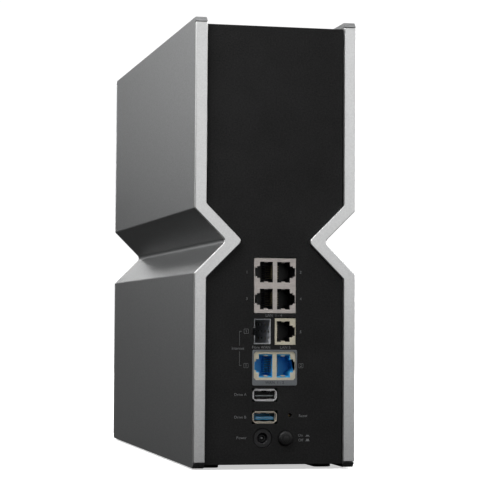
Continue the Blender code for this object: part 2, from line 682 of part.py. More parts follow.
def make_usb_socket(name, z, finish):
    """A USB socket: a sheet shell whose mouth flares into a cut-cornered lip, and the tongue inside it."""
    half_width, half_height = USB_WIDTH / 2, USB_HEIGHT / 2
    rear = JACK_Y - USB_DEPTH
    shell_low = (USB_X - half_width, rear, z - half_height)
    shell_high = (USB_X + half_width, JACK_Y - GAP, z + half_height)
    shell = block(f"{name}_shell", shell_low, shell_high, "steel")
    flare = chamfered(half_width + USB_FLARE, half_height + USB_FLARE, USB_CHAMFER, USB_X, z)
    join(shell, slab(f"{name}_flare", [flare], "XZ", JACK_Y - USB_FLARE_DEPTH, JACK_Y))
    inside_low = (shell_low[0] + SHEET, rear - SHEET, shell_low[2] + SHEET)
    inside_high = (shell_high[0] - SHEET, JACK_Y + SHEET, shell_high[2] - SHEET)
    cut(shell, block(f"{name}_inside", inside_low, inside_high))
    tongue_z = z - USB_TONGUE_DROP
    wall = SHEET + GAP
    back_low = (shell_low[0] + wall, rear, shell_low[2] + wall)
    back_high = (shell_high[0] - wall, rear + USB_BACK_THICKNESS, shell_high[2] - wall)
    tongue = block(f"{name}_tongue", back_low, back_high, finish)
    blade_low = (USB_X - USB_TONGUE_WIDTH / 2, rear + wall, tongue_z - USB_TONGUE_THICKNESS / 2)
    blade_high = (
        USB_X + USB_TONGUE_WIDTH / 2,
        JACK_Y - USB_TONGUE_SETBACK,
        tongue_z + USB_TONGUE_THICKNESS / 2,
    )
    join(tongue, block(f"{name}_blade", blade_low, blade_high))


def make_power_inlet():
    """The barrel inlet: a block with a round nose and a blind bore, and the pin in the bore."""
    front = PANEL_BACK_Y - GAP
    body_low = (INLET_BODY_INNER_X, front - INLET_BODY_DEPTH, INLET_Z - INLET_BODY_HEIGHT / 2)
    body_high = (IO_BOARD_FACE - GAP, front, INLET_Z + INLET_BODY_HEIGHT / 2)
    body = block("inlet_body", body_low, body_high, "socket_black")
    root = front - JACK_SETBACK
    start, end = (INLET_X, root, INLET_Z), (INLET_X, JACK_Y, INLET_Z)
    join(body, cylinder("inlet_nose", INLET_NOSE_RADIUS, start, end, sides=ROUND_SIDES))
    bottom = front - INLET_BORE_DEPTH
    bore = [
        (0, GAP),
        (INLET_MOUTH_RADIUS, GAP),
        (INLET_MOUTH_RADIUS, 0),
        (INLET_BORE_RADIUS, -INLET_MOUTH_DEPTH),
        (INLET_BORE_RADIUS, bottom - JACK_Y),
        (0, bottom - JACK_Y),
    ]
    cut(body, turned("inlet_bore", bore, (INLET_X, JACK_Y, INLET_Z)))
    pin_length = PANEL_Y - INLET_PIN_SETBACK - bottom - GAP
    point = INLET_PIN_RADIUS / 2
    pin = [
        (0, pin_length),
        (INLET_PIN_RADIUS - point, pin_length),
        (INLET_PIN_RADIUS, pin_length - point),
        (INLET_PIN_RADIUS, 0),
        (0, 0),
    ]
    turned("inlet_pin", pin, (INLET_X, bottom + GAP, INLET_Z), "steel", steps=HOLE_SIDES)


def make_power_button():
    """The power button's cap with its stem, and the latching switch that the stem works in."""
    fillet = BUTTON_FILLET
    arc = [math.pi / 2 * (1 - step / ARC_STEPS) for step in range(ARC_STEPS + 1)]
    cap = [(0, BUTTON_PROUD)]
    for angle in arc:
        radius = BUTTON_RADIUS - fillet + fillet * math.cos(angle)
        cap.append((radius, BUTTON_PROUD - fillet + fillet * math.sin(angle)))
    cap += [
        (BUTTON_RADIUS, BUTTON_PROUD - BUTTON_SKIRT),
        (STEM_RADIUS, BUTTON_PROUD - BUTTON_SKIRT),
        (STEM_RADIUS, BUTTON_PROUD - BUTTON_SKIRT - STEM_LENGTH),
        (0, BUTTON_PROUD - BUTTON_SKIRT - STEM_LENGTH),
    ]
    turned("power_button", cap, (BUTTON_X, PANEL_Y, BUTTON_Z), "black_plastic", steps=ROUND_SIDES)
    skirt_end = PANEL_Y + BUTTON_PROUD - BUTTON_SKIRT
    front = skirt_end - BUTTON_TRAVEL - GAP
    low = (MAIN_BOARD_FACE + GAP, front - SWITCH_DEPTH, BUTTON_Z - SWITCH_HEIGHT / 2)
    high = (SWITCH_INNER_X, front, BUTTON_Z + SWITCH_HEIGHT / 2)
    switch = block("power_switch", low, high, "socket_black")
    well_end = skirt_end - STEM_LENGTH - BUTTON_TRAVEL - GAP
    start, end = (BUTTON_X, well_end, BUTTON_Z), (BUTTON_X, front + GAP, BUTTON_Z)
    cut(switch, cylinder("power_switch_well", STEM_RADIUS + RUNNING_GAP, start, end, sides=ROUND_SIDES))


def reset_tip_y():
    """Where the reset plunger ends."""
    return PANEL_BACK_Y - RESET_SETBACK


def make_reset_button():
    """The small switch behind the reset pinhole and its plunger."""
    tip = reset_tip_y()
    face = tip - RESET_PLUNGER_PROUD
    root = face - RESET_PLUNGER_SINK
    half = RESET_BODY / 2
    low = (MAIN_BOARD_FACE + GAP, face - RESET_BODY_DEPTH, RESET_Z - half)
    high = (RESET_X + half, face, RESET_Z + half)
    body = block("reset_switch", low, high, "socket_black")
    well_end = (RESET_X, root - RESET_TRAVEL - GAP, RESET_Z)
    well = RESET_PLUNGER_RADIUS + RUNNING_GAP
    cut(body, cylinder("reset_switch_well", well, well_end, (RESET_X, face + GAP, RESET_Z)))
    start, end = (RESET_X, root, RESET_Z), (RESET_X, tip, RESET_Z)
    cylinder("reset_button", RESET_PLUNGER_RADIUS, start, end, "brass")


def circle(x, z, radius, sides=ROUND_SIDES):
    """The outline of a circle."""
    turns = [2 * math.pi * step / sides for step in range(sides)]
    return [(x + radius * math.cos(turn), z + radius * math.sin(turn)) for turn in turns]


def make_rear_panel():
    """The rear panel with a hole for every port and button."""
    left, right = JACK_X - JACK_HALF_WIDTH - GAP, JACK_X + JACK_HALF_WIDTH + GAP
    lan = LAN_BLOCK_HEIGHT / 2 + GAP
    single = SINGLE_JACK_HEIGHT / 2 + GAP
    wan = WAN_BLOCK_HEIGHT / 2 + GAP
    cage = CAGE_HEIGHT / 2 + GAP
    cage_low, cage_high = CAGE_INNER_X - GAP, CAGE_INNER_X + CAGE_WIDTH + GAP
    notch = CAGE_NOTCH_HEIGHT / 2
    cage_hole = [
        (cage_low, CAGE_Z - cage),
        (cage_high, CAGE_Z - cage),
        (cage_high, CAGE_Z - notch),
        (IO_BOARD_FACE - GAP, CAGE_Z - notch),
        (IO_BOARD_FACE - GAP, CAGE_Z + notch),
        (cage_high, CAGE_Z + notch),
        (cage_high, CAGE_Z + cage),
        (cage_low, CAGE_Z + cage),
    ]
    holes = [
        rectangle(left, right, LAN_BLOCK_Z - lan, LAN_BLOCK_Z + lan),
        rectangle(left, JACK_X + GAP, SINGLE_JACK_Z - single, SINGLE_JACK_Z + single),
        rectangle(left, right, WAN_BLOCK_Z - wan, WAN_BLOCK_Z + wan),
        cage_hole,
        circle(INLET_X, INLET_Z, INLET_NOSE_RADIUS + GAP, ROUND_SIDES),
        circle(BUTTON_X, BUTTON_Z, BUTTON_RADIUS + RUNNING_GAP, ROUND_SIDES),
        circle(RESET_X, RESET_Z, RESET_HOLE_RADIUS, HOLE_SIDES),
    ]
    across, up = (size / 2 + USB_FLARE + GAP for size in (USB_WIDTH, USB_HEIGHT))
    holes += [rectangle(USB_X - across, USB_X + across, z - up, z + up) for z in USB_ZS.values()]
    outline = hourglass(COVER_THICKNESS + PANEL_GAP, BODY_BOTTOM, BODY_TOP)
    slab("rear_panel", [outline, *holes], "XZ", PANEL_BACK_Y, PANEL_Y, "black_plastic")


def display_windows():
    """The bezel's two windows: (half width, low, high) of the dot display's and of the touch display's."""
    upper = (HALF_WIDTH - COVER_THICKNESS - BEZEL_MARGIN, UPPER_LOBE_LOW, BODY_TOP - BEZEL_MARGIN)
    middle = (BODY_BOTTOM + LOWER_LOBE_HIGH) / 2
    lower = (TOUCH_WIDTH / 2, middle - TOUCH_HEIGHT / 2, middle + TOUCH_HEIGHT / 2)
    return upper, lower


def make_front():
    """The glossy front lens, the bezel behind it, and the dot display and touch display in its windows."""
    outline = hourglass(COVER_THICKNESS + PANEL_GAP, BODY_BOTTOM, BODY_TOP)
    slab("front_lens", [outline], "XZ", LENS_Y, LENS_Y + LENS_THICKNESS, "gloss_lens")
    upper, lower = display_windows()
    windows = [rectangle(-half, half, low, high) for half, low, high in (upper, lower)]
    slab("front_bezel", [outline, *windows], "XZ", BEZEL_Y, BEZEL_BACK_Y, "inner_plastic")
    half, low, high = lower
    face = BEZEL_Y
    touch_low = (-half + GAP, face, low + GAP)
    block("touch_display", touch_low, (half - GAP, face + TOUCH_THICKNESS, high - GAP), "display_glass")
    half, low, high = upper
    board_y = BEZEL_BACK_Y + GAP
    board_low = (-half, board_y, low)
    board_high = (half, board_y + LED_BOARD_THICKNESS, high)
    board = block("dot_display_board", board_low, board_high, "circuit_board")
    middle = (low + high) / 2
    carrier_half = int((half - DOT_BORDER) * 2 / DOT_PITCH) * DOT_PITCH / 2
    carrier_tall = int((high - low - DOT_BORDER * 2) / DOT_PITCH) * DOT_PITCH / 2
    face_low = (-carrier_half, board_y - DOT_HEIGHT, middle - carrier_tall)
    face_high = (carrier_half, board_y + GAP, middle + carrier_tall)
    join(board, block("dot_carrier", face_low, face_high))


def make_front_cable():
    """The flat flexible cable that runs from the touch display to the main board."""
    start_y = BEZEL_Y + TOUCH_THICKNESS + GAP
    end_y = MAIN_BOARD_FRONT + FLEX_WIDTH
    _, (_, low, high) = display_windows()
    middle = (low + high) / 2
    x = MAIN_BOARD_FACE + GAP
    half = FLEX_THICKNESS
    path = [
        (x + FLEX_WIDTH, start_y),
        (x, start_y),
        (x, end_y),
        (x + half, end_y),
        (x + half, start_y + half),
        (x + FLEX_WIDTH, start_y + half),
    ]
    low_z, high_z = middle - FLEX_WIDTH / 2, middle + FLEX_WIDTH / 2
    slab("front_flex_cable", [path], "XY", low_z, high_z, "flex_amber")


def vent_slots(half_span, half_length):
    """Outlines of slots that run along X, stepped along Y."""
    count = int(half_span * 2 / VENT_PITCH)
    ys = [(index - (count - 1) / 2) * VENT_PITCH for index in range(count)]
    half = VENT_SLOT_WIDTH / 2
    return [rectangle(-half_length, half_length, y - half, y + half) for y in ys]


def make_top_and_base():
    """The vented top grille and the vented base plate with seats for the feet and holes for its screws."""
    wall_x = HALF_WIDTH - FRAME_INSET
    outline = rectangle(-wall_x, wall_x, FRAME_FRONT, FRAME_REAR)
    slots = vent_slots(FRAME_REAR - GRILLE_BORDER, wall_x - GRILLE_BORDER)
    slab("top_grille", [outline, *slots], "XY", BODY_TOP - GRILLE_THICKNESS, BODY_TOP, "black_plastic")
    holes = vent_slots(BASE_VENT_SPAN / 2, BASE_VENT_LENGTH / 2)
    top = BODY_BOTTOM + BASE_THICKNESS
    base = slab("base_plate", [outline, *holes], "XY", BODY_BOTTOM, top, "black_plastic")
    for word, x, y in foot_places():
        half_x, half_y = FOOT_WIDTH / 2 + GAP, FOOT_LENGTH / 2 + GAP
        seat = rectangle(x - half_x, x + half_x, y - half_y, y + half_y, FOOT_CORNER)
        cut(base, slab(f"foot_seat_{word}", [seat], "XY", 0, BODY_BOTTOM + FOOT_SINK))
    for word, x, y in base_screw_places():
        cut(base, cylinder(f"base_hole_{word}", SCREW_RADIUS + GAP, (x, y, 0), (x, y, top + GAP)))
        sink_top = BODY_BOTTOM + SCREW_HEAD_HEIGHT + GAP
        cut(base, cylinder(f"base_sink_{word}", SCREW_HEAD_RADIUS + GAP, (x, y, 0), (x, y, sink_top)))


def corner_places(x, y):
    """Four corners by name."""
    return [
        ("rear_right", x, y),
        ("rear_left", -x, y),
        ("front_right", x, -y),
        ("front_left", -x, -y),
    ]


def foot_places():
    """Label, x and y of each foot."""
    return corner_places(FOOT_X, REAR_Y - FOOT_SETBACK - FOOT_LENGTH / 2)


def base_screw_places():
    """Label, x and y of each screw of the base plate."""
    return corner_places(BASE_SCREW_X, BASE_SCREW_Y)


def make_feet():
    """Four rubber feet set into the base."""
    half_x, half_y = FOOT_WIDTH / 2, FOOT_LENGTH / 2
    for word, x, y in foot_places():
        outline = rectangle(x - half_x, x + half_x, y - half_y, y + half_y, FOOT_CORNER)
        slab(f"foot_{word}", [outline], "XY", 0, BODY_BOTTOM + FOOT_SINK - GAP, "rubber")


def make_screw(name, seat, direction, length):
    """A cross-head screw whose head's underside sits at the seat, pointing along the direction."""
    seat, direction = Vector(seat), Vector(direction)
    head_top = seat - direction * SCREW_HEAD_HEIGHT
    screw = cylinder(name, SCREW_HEAD_RADIUS, seat, head_top, "steel", sides=SCREW_HEAD_SIDES)
    shank_start = seat - direction * SCREW_HEAD_HEIGHT / 2
    tip = seat + direction * length
    join(screw, cylinder(name + "_shank", SCREW_RADIUS, shank_start, tip, sides=SCREW_SIDES))
    across = Vector((direction.y, direction.z, direction.x))
    upright = direction.cross(across)
    deep = direction * SCREW_RECESS
    for label, long_way, short_way in (("_a", across, upright), ("_b", upright, across)):
        arm = long_way * SCREW_HEAD_RADIUS * SCREW_DRIVE_SHARE + short_way * SCREW_DRIVE_WIDTH / 2
        first = head_top - deep - arm
        second = head_top + deep + arm
        low = [min(pair) for pair in zip(first, second)]
        high = [max(pair) for pair in zip(first, second)]
        cut(screw, block(name + label, low, high))


def make_screws():
    """The base plate's four screws and the main board's four."""
    for word, x, y in base_screw_places():
        seat = (x, y, BODY_BOTTOM + SCREW_HEAD_HEIGHT)
        make_screw(f"base_screw_{word}", seat, (0, 0, 1), BASE_SCREW_LENGTH - SCREW_HEAD_HEIGHT)
    for number, (y, z) in enumerate(board_screw_places(), 1):
        seat = (MAIN_BOARD_FACE + GAP, y, z)
        make_screw(f"board_screw_{number}", seat, (-1, 0, 0), BOARD_SCREW_LENGTH)


def make_boards():
    """The main board, the port board across from it, and the link between the two."""
    back = MAIN_BOARD_FACE - BOARD_THICKNESS
    low = (back, MAIN_BOARD_FRONT, MAIN_BOARD_BOTTOM)
    main_board = block("main_board", low, (MAIN_BOARD_FACE, BOARD_REAR, MAIN_BOARD_TOP), "circuit_board")
    for number, (y, z) in enumerate(board_screw_places()):
        start, end = (back - GAP, y, z), (MAIN_BOARD_FACE + GAP, y, z)
        cut(main_board, cylinder(f"board_hole_{number}", SCREW_RADIUS + GAP, start, end))
    front = BOARD_REAR - IO_BOARD_LENGTH
    low = (IO_BOARD_FACE, front, MAIN_BOARD_BOTTOM)
    block("port_board", low, (IO_BOARD_FACE + BOARD_THICKNESS, BOARD_REAR, IO_BOARD_TOP), "circuit_board")
    low = (MAIN_BOARD_FACE + GAP, front, LINK_Z - LINK_HEIGHT / 2)
    high = (IO_BOARD_FACE - GAP, front + LINK_WIDTH, LINK_Z + LINK_HEIGHT / 2)
    block("board_link", low, high, "socket_black")


def make_board_parts():
    """The processor behind the main board and the shield cans on its face."""
    half = PROCESSOR_SIZE / 2
    upper_height = UPPER_CAN_HIGH - UPPER_CAN_LOW
    top = MAIN_BOARD_FACE - BOARD_THICKNESS - GAP
    low = (top - PROCESSOR_THICKNESS, PROCESSOR_Y - half, PROCESSOR_Z - half)
    block("processor", low, (top, PROCESSOR_Y + half, PROCESSOR_Z + half), "chip_black")
    for name, length, height, y, z in (
        ("radio_shield_upper", UPPER_CAN_LENGTH, upper_height, UPPER_CAN_Y, UPPER_CAN_LOW + upper_height / 2),
        ("radio_shield_lower", LOWER_CAN_LENGTH, LOWER_CAN_HEIGHT, LOWER_CAN_Y, LOWER_CAN_Z),
    ):
        face = MAIN_BOARD_FACE + GAP
        low = (face, y - length / 2, z - height / 2)
        high = (face + SHIELD_CAN_HEIGHT, y + length / 2, z + height / 2)
        can = block(name, low, high, "cage_metal")
        inside_low = (face - GAP, low[1] + SHEET, low[2] + SHEET)
        inside_high = (high[0] - SHEET, high[1] - SHEET, high[2] - SHEET)
        cut(can, block(name + "_inside", inside_low, inside_high))


def make_heatsink(name, base_x, tip_x, z_low, z_high):
    """A heatsink with upright fins: its base plate lies at base_x and its fins reach to tip_x."""
    way = math.copysign(1, tip_x - base_x)
    y_low, y_high = SINK_Y - SINK_LENGTH / 2, SINK_Y + SINK_LENGTH / 2
    inner = base_x + way * SINK_BASE
    comb = [(y_low, base_x), (y_high, base_x), (y_high, inner)]
    count = int(SINK_LENGTH / SINK_FIN_PITCH)
    middles = [SINK_Y + (index - (count - 1) / 2) * SINK_FIN_PITCH for index in range(count)]
    for y in reversed(middles):
        comb += [(y + SINK_FIN / 2, inner), (y + SINK_FIN / 2, tip_x)]
        comb += [(y - SINK_FIN / 2, tip_x), (y - SINK_FIN / 2, inner)]
    comb.append((y_low, inner))
    slab(name, [[(x, y) for y, x in comb]], "XY", z_low, z_high, "aluminium")


def make_heatsinks():
    """The lower heatsink on the processor and the upper one on the radios' shield can."""
    lower_base = MAIN_BOARD_FACE - BOARD_THICKNESS - GAP - PROCESSOR_THICKNESS - GAP
    lower_low = FRAME_LOW + BASE_BOSS_HEIGHT + SINK_MARGIN
    tip = -LOBE_INNER_X + SINK_MARGIN
    slope_top = LOWER_LOBE_HIGH - SINK_MARGIN
    make_heatsink("heatsink_lower", lower_base, tip, lower_low, slope_top)
    upper_base = MAIN_BOARD_FACE + GAP + SHIELD_CAN_HEIGHT + GAP
    upper_tip = min(UPPER_SINK_REACH, LOBE_INNER_X - SINK_MARGIN)
    make_heatsink("heatsink_upper", upper_base, upper_tip, UPPER_CAN_LOW, UPPER_CAN_HIGH)


def make_antenna(side, word, y):
    """A flexible antenna on a side frame's outer face, with the coaxial lead that goes in through a hole."""
    inner = HALF_WIDTH - FRAME_INSET + GAP
    middle = antenna_middle_z()
    x_low, x_high = sorted((side * inner, side * (inner + ANTENNA_THICKNESS)))
    low = (x_low, y - ANTENNA_LENGTH / 2, middle - ANTENNA_HEIGHT / 2)
    high = (x_high, y + ANTENNA_LENGTH / 2, middle + ANTENNA_HEIGHT / 2)
    antenna = block(f"antenna_{word}", low, high, "flex_amber")
    lane = side * (inner + LEAD_RADIUS)
    hole_z = lead_hole_z()
    eased = LEAD_BEND * LEAD_BEND_EASE
    ends = side * (LOBE_INNER_X - LEAD_TIP)
    route = [
        (lane, y, low[2] + ANTENNA_HEIGHT / 4),
        (lane, y, hole_z + LEAD_BEND),
        (lane - side * eased, y, hole_z + eased),
        (lane - side * LEAD_BEND, y, hole_z),
        (ends, y, hole_z),
    ]
    join(antenna, tube(f"antenna_lead_{word}", route, LEAD_RADIUS, None))


def main():
    """Makes every part."""
    start_scene()
    for side, word in ((1, "right"), (-1, "left")):
        make_side_cover(side, f"side_cover_{word}")
        make_trims(side, word)
        make_side_frame(side, f"side_frame_{word}")
        make_antenna(side, f"rear_{word}", ANTENNA_Y)
        make_antenna(side, f"front_{word}", -ANTENNA_Y)
    make_rear_panel()
    make_front()
    make_front_cable()
    make_top_and_base()
    make_feet()
    make_jacks()
    make_fibre_cage()
    make_usb_socket("usb2", USB_ZS["usb2"], "socket_black")
    make_usb_socket("usb3", USB_ZS["usb3"], "socket_blue")
    make_power_inlet()
    make_power_button()
    make_reset_button()
    make_boards()
    make_board_parts()
    make_heatsinks()
    make_screws()


if __name__ == "__main__":
    main()
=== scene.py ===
"""Looks of a tower wireless router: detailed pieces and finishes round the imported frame.

Every length is in metres, in the frame's own axes: +Z is up, +Y faces out of the port side and the
display side faces -Y.
"""

import json
import logging
import math
from collections.abc import Iterable, Sequence
from dataclasses import dataclass
from enum import Enum

import bmesh
import bpy
from mathutils import Matrix, Vector


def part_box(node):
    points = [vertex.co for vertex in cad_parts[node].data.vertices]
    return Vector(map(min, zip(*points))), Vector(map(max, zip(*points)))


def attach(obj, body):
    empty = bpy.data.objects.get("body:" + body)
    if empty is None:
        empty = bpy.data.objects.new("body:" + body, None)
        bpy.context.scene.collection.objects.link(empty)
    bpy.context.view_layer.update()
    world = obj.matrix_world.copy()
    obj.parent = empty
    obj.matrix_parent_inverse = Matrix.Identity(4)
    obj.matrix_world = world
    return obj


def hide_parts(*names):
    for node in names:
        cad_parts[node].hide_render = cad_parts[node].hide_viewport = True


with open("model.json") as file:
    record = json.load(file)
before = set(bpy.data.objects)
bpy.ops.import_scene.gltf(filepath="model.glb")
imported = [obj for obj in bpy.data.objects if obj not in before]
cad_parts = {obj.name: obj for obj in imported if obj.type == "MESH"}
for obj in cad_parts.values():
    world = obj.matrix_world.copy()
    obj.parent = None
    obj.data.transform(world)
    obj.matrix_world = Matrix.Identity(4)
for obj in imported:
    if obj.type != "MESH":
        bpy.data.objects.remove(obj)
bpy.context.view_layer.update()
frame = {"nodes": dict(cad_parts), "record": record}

LOG = logging.getLogger("router")
CHASSIS = "chassis"
SIDES = ("left", "right")
ENDS = ("front", "rear")
Point2 = tuple[float, float]
Loop = list[Point2]
Colour = tuple[float, float, float]

BEVEL_ANGLE = math.radians(28)
FLAT_ANGLE = math.radians(0.6)
NODE_MERGE = 2e-6
MERGE = 1e-7
CAPITAL_SHARE = 0.7


# ---------------------------------------------------------------- outlines


def rounded(corners: Sequence[tuple[float, float, float]], steps: int = 5) -> Loop:
    """Rounds the corners of a closed outline with arcs.

    Args:
        corners: (u, v, radius) of each corner in order.
        steps: Number of facets in each arc.

    Returns:
        The outline's points.
    """
    points: Loop = []
    for index, (u, v, radius) in enumerate(corners):
        corner = Vector((u, v))
        if radius <= 0:
            points.append((u, v))
            continue
        before = (Vector(corners[index - 1][:2]) - corner).normalized()
        after = (Vector(corners[(index + 1) % len(corners)][:2]) - corner).normalized()
        half = before.angle(after) / 2
        centre = corner + (before + after).normalized() * radius / math.sin(half)
        spoke = corner + before * radius / math.tan(half) - centre
        turn = math.copysign(math.pi - 2 * half, before.x * after.y - before.y * after.x)
        for step in range(steps + 1):
            point = centre + Matrix.Rotation(-turn * step / steps, 2) @ spoke
            points.append((point.x, point.y))
    return points


def rectangle(u: float, v: float, width: float, height: float, radius: float = 0.0) -> Loop:
    """Outlines a rectangle about its middle.

    Args:
        u: Middle along the first axis.
        v: Middle along the second axis.
        width: Size along the first axis.
        height: Size along the second axis.
        radius: Radius of the corners.

    Returns:
        The outline's points.
    """
    a, b = width / 2, height / 2
    corners = [(u - a, v - b), (u + a, v - b), (u + a, v + b), (u - a, v + b)]
    return rounded([(x, y, radius) for x, y in corners])


def clipped(u: float, v: float, width: float, height: float, cut: float, radius: float = 0.0) -> Loop:
    """Outlines a rectangle whose corners are cut off at 45 degrees.

    Args:
        u: Middle along the first axis.
        v: Middle along the second axis.
        width: Size along the first axis.
        height: Size along the second axis.
        cut: Leg of each cut corner.
        radius: Radius that softens the ends of the cuts.

    Returns:
        The outline's points.
    """
    a, b = width / 2, height / 2
    corners = [
        (u - a + cut, v - b), (u + a - cut, v - b), (u + a, v - b + cut), (u + a, v + b - cut),
        (u + a - cut, v + b), (u - a + cut, v + b), (u - a, v + b - cut), (u - a, v - b + cut),
    ]
    return rounded([(x, y, radius) for x, y in corners], 3)


# ---------------------------------------------------------------- meshes


class Axis(Enum):
    """The axis that an outline is extruded or turned about."""

    X = "X"
    Y = "Y"
    Z = "Z"

    def place(self, u: float, v: float, along: float) -> Vector:
        """Puts an outline's point in space.

        Args:
            u: First coordinate of the outline: Y for axis X, and X for the others.
            v: Second coordinate of the outline: Y for axis Z, and Z for the others.
            along: Distance along this axis.

        Returns:
            The point.
        """
        if self is Axis.X:
            return Vector((along, u, v))
        if self is Axis.Y:
            return Vector((u, along, v))
        return Vector((u, v, along))


class Solid:
    """A mesh in the making, which gathers closed shells and ends as one finished piece."""

    def __init__(self) -> None:
        """Starts with no shells."""
        self.mesh = bmesh.new()

    def take(self, part: bmesh.types.BMesh, edge: float = 0.0, segments: int = 2) -> "Solid":
        """Adds a closed shell, with its sharp edges rounded, and frees it.

        Args:
            part: The shell.
            edge: Width of the rounding, or 0 to leave the edges sharp.
            segments: Facets across the rounding.

        Returns:
            This solid.
        """
        bmesh.ops.recalc_face_normals(part, faces=part.faces[:])
        if edge > 0:
            sharp = [e for e in part.edges if e.is_manifold and e.calc_face_angle() > BEVEL_ANGLE]
            bmesh.ops.bevel(
                part, geom=sharp, offset=edge, offset_type="OFFSET", affect="EDGES", segments=segments,
                profile=0.5, material=-1, clamp_overlap=False,
            )
        held = bpy.data.meshes.new("part")
        part.to_mesh(held)
        part.free()
        self.mesh.from_mesh(held)
        bpy.data.meshes.remove(held)
        return self

    def prism(self, loops: Sequence[Loop], axis: Axis, low: float, high: float, edge: float = 0.0,
              segments: int = 2) -> "Solid":
        """Adds an outline, less its holes, extruded along an axis.

        Args:
            loops: The outline, then the outlines of its holes.
            axis: The axis to extrude along.
            low: Where the extrusion starts.
            high: Where it ends.
            edge: Width of the rounding on its sharp edges.
            segments: Facets across the rounding.

        Returns:
            This solid.
        """
        part = bmesh.new()
        edges: list[bmesh.types.BMEdge] = []
        for loop in loops:
            verts = [part.verts.new(axis.place(u, v, low)) for u, v in loop]
            edges += [part.edges.new((vert, verts[n - 1])) for n, vert in enumerate(verts)]
        bmesh.ops.triangle_fill(part, use_beauty=True, use_dissolve=False, edges=edges)
        grown = bmesh.ops.extrude_face_region(part, geom=part.faces[:])
        moved = [item for item in grown["geom"] if isinstance(item, bmesh.types.BMVert)]
        bmesh.ops.translate(part, vec=axis.place(0, 0, high - low), verts=moved)
        return self.take(part, edge, segments)

    def box(self, low: Sequence[float], high: Sequence[float], edge: float = 0.0,
            segments: int = 2) -> "Solid":
        """Adds a box between two corners.

        Args:
            low: Lowest corner.
            high: Highest corner.
            edge: Width of the rounding on its edges.
            segments: Facets across the rounding.

        Returns:
            This solid.
        """
        low, high = Vector(low), Vector(high)
        part = bmesh.new()
        place = Matrix.Translation((low + high) / 2) @ Matrix.Diagonal((*(high - low), 1))
        bmesh.ops.create_cube(part, size=1, matrix=place)
        return self.take(part, edge, segments)

    def turned(self, profile: Sequence[Point2], centre: Sequence[float], axis: Axis,
               steps: int = 48) -> "Solid":
        """Adds a profile turned all the way round a line.

        Args:
            profile: (radius, distance along the axis) points; the ends lie on the axis or meet.
            centre: A point on the line, where the distances start.
            axis: The line's direction.
            steps: Facets round the turn.

        Returns:
            This solid.
        """
        part = bmesh.new()
        verts = [part.verts.new(axis.place(radius, 0, along)) for radius, along in profile]
        for first, second in zip(verts, verts[1:]):
            part.edges.new((first, second))
        direction = axis.place(0, 0, 1)
        bmesh.ops.spin(
            part, geom=part.verts[:] + part.edges[:], cent=(0, 0, 0), axis=direction, angle=math.tau,
            steps=steps, use_merge=True, use_normal_flip=False, use_duplicate=False,
        )
        bmesh.ops.remove_doubles(part, verts=part.verts[:], dist=MERGE)
        bmesh.ops.translate(part, vec=Vector(centre), verts=part.verts[:])
        return self.take(part)

    def node(self, name: str, edge: float = 0.0, segments: int = 2) -> "Solid":
        """Adds a copy of a frame node, merged and with its sharp edges rounded.

        Args:
            name: The node's name.
            edge: Width of the rounding.
            segments: Facets across the rounding.

        Returns:
            This solid.
        """
        part = bmesh.new()
        part.from_mesh(frame["nodes"][name].data)
        bmesh.ops.remove_doubles(part, verts=part.verts[:], dist=NODE_MERGE)
        bmesh.ops.dissolve_limit(
            part, angle_limit=FLAT_ANGLE, use_dissolve_boundaries=False, verts=part.verts[:],
            edges=part.edges[:],
        )
        return self.take(part, edge, segments)

    def text(self, words: str, x: float, z: float, height: float, face_y: float,
             depth: float) -> "Solid":
        """Adds words that read from the port side, centred on a point.

        Args:
            words: What they say.
            x: Middle of the words along X.
            z: Middle of the words along Z.
            height: Height of a capital letter.
            face_y: The surface that they lie on.
            depth: How far they stand out of it.

        Returns:
            This solid.
        """
        curve = bpy.data.curves.new("words", "FONT")
        curve.body = words
        curve.align_x, curve.align_y = "CENTER", "CENTER"
        curve.size = height / CAPITAL_SHARE
        curve.extrude = depth / 2
        curve.resolution_u = 3
        holder = bpy.data.objects.new("words", curve)
        bpy.context.scene.collection.objects.link(holder)
        bpy.context.view_layer.update()
        mesh = bpy.data.meshes.new_from_object(holder.evaluated_get(bpy.context.evaluated_depsgraph_get()))
        bpy.data.objects.remove(holder)
        part = bmesh.new()
        part.from_mesh(mesh)
        bpy.data.meshes.remove(mesh)
        bmesh.ops.remove_doubles(part, verts=part.verts[:], dist=MERGE)
        turn = Matrix(((-1, 0, 0), (0, 0, 1), (0, 1, 0))).to_4x4()
        place = Matrix.Translation((x, face_y + depth / 2, z)) @ turn
        bmesh.ops.transform(part, matrix=place, verts=part.verts[:])
        return self.take(part)

    def finish(self, name: str, finish: "Finish", body: str = CHASSIS, replaces: Iterable[str] = (),
               slot: str | None = None, sharp: float = 40) -> bpy.types.Object:
        """Makes the piece's object, dresses it and puts it on its body.

        Args:
            name: The piece's name.
            finish: The finish that it wears.
            body: The body that it rides on.
            replaces: The frame nodes that it stands for.
            slot: Not used.
            sharp: Angle in degrees above which an edge is shaded sharp.

        Returns:
            The piece.
        """
        mesh = bpy.data.meshes.new(name)
        self.mesh.to_mesh(mesh)
        self.mesh.free()
        mesh.shade_smooth()
        mesh.set_sharp_from_angle(angle=math.radians(sharp))
        mesh.materials.append(finish.material())
        piece = bpy.data.objects.new(name, mesh)
        bpy.context.scene.collection.objects.link(piece)
        even = piece.modifiers.new("Even shading", "WEIGHTED_NORMAL")
        even.keep_sharp = True
        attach(piece, body)
        nodes = list(replaces)
        if nodes:
            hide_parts(*nodes)
        LOG.info("%s: %d faces, on %s", name, len(mesh.polygons), body)
        return piece


# ---------------------------------------------------------------- finishes


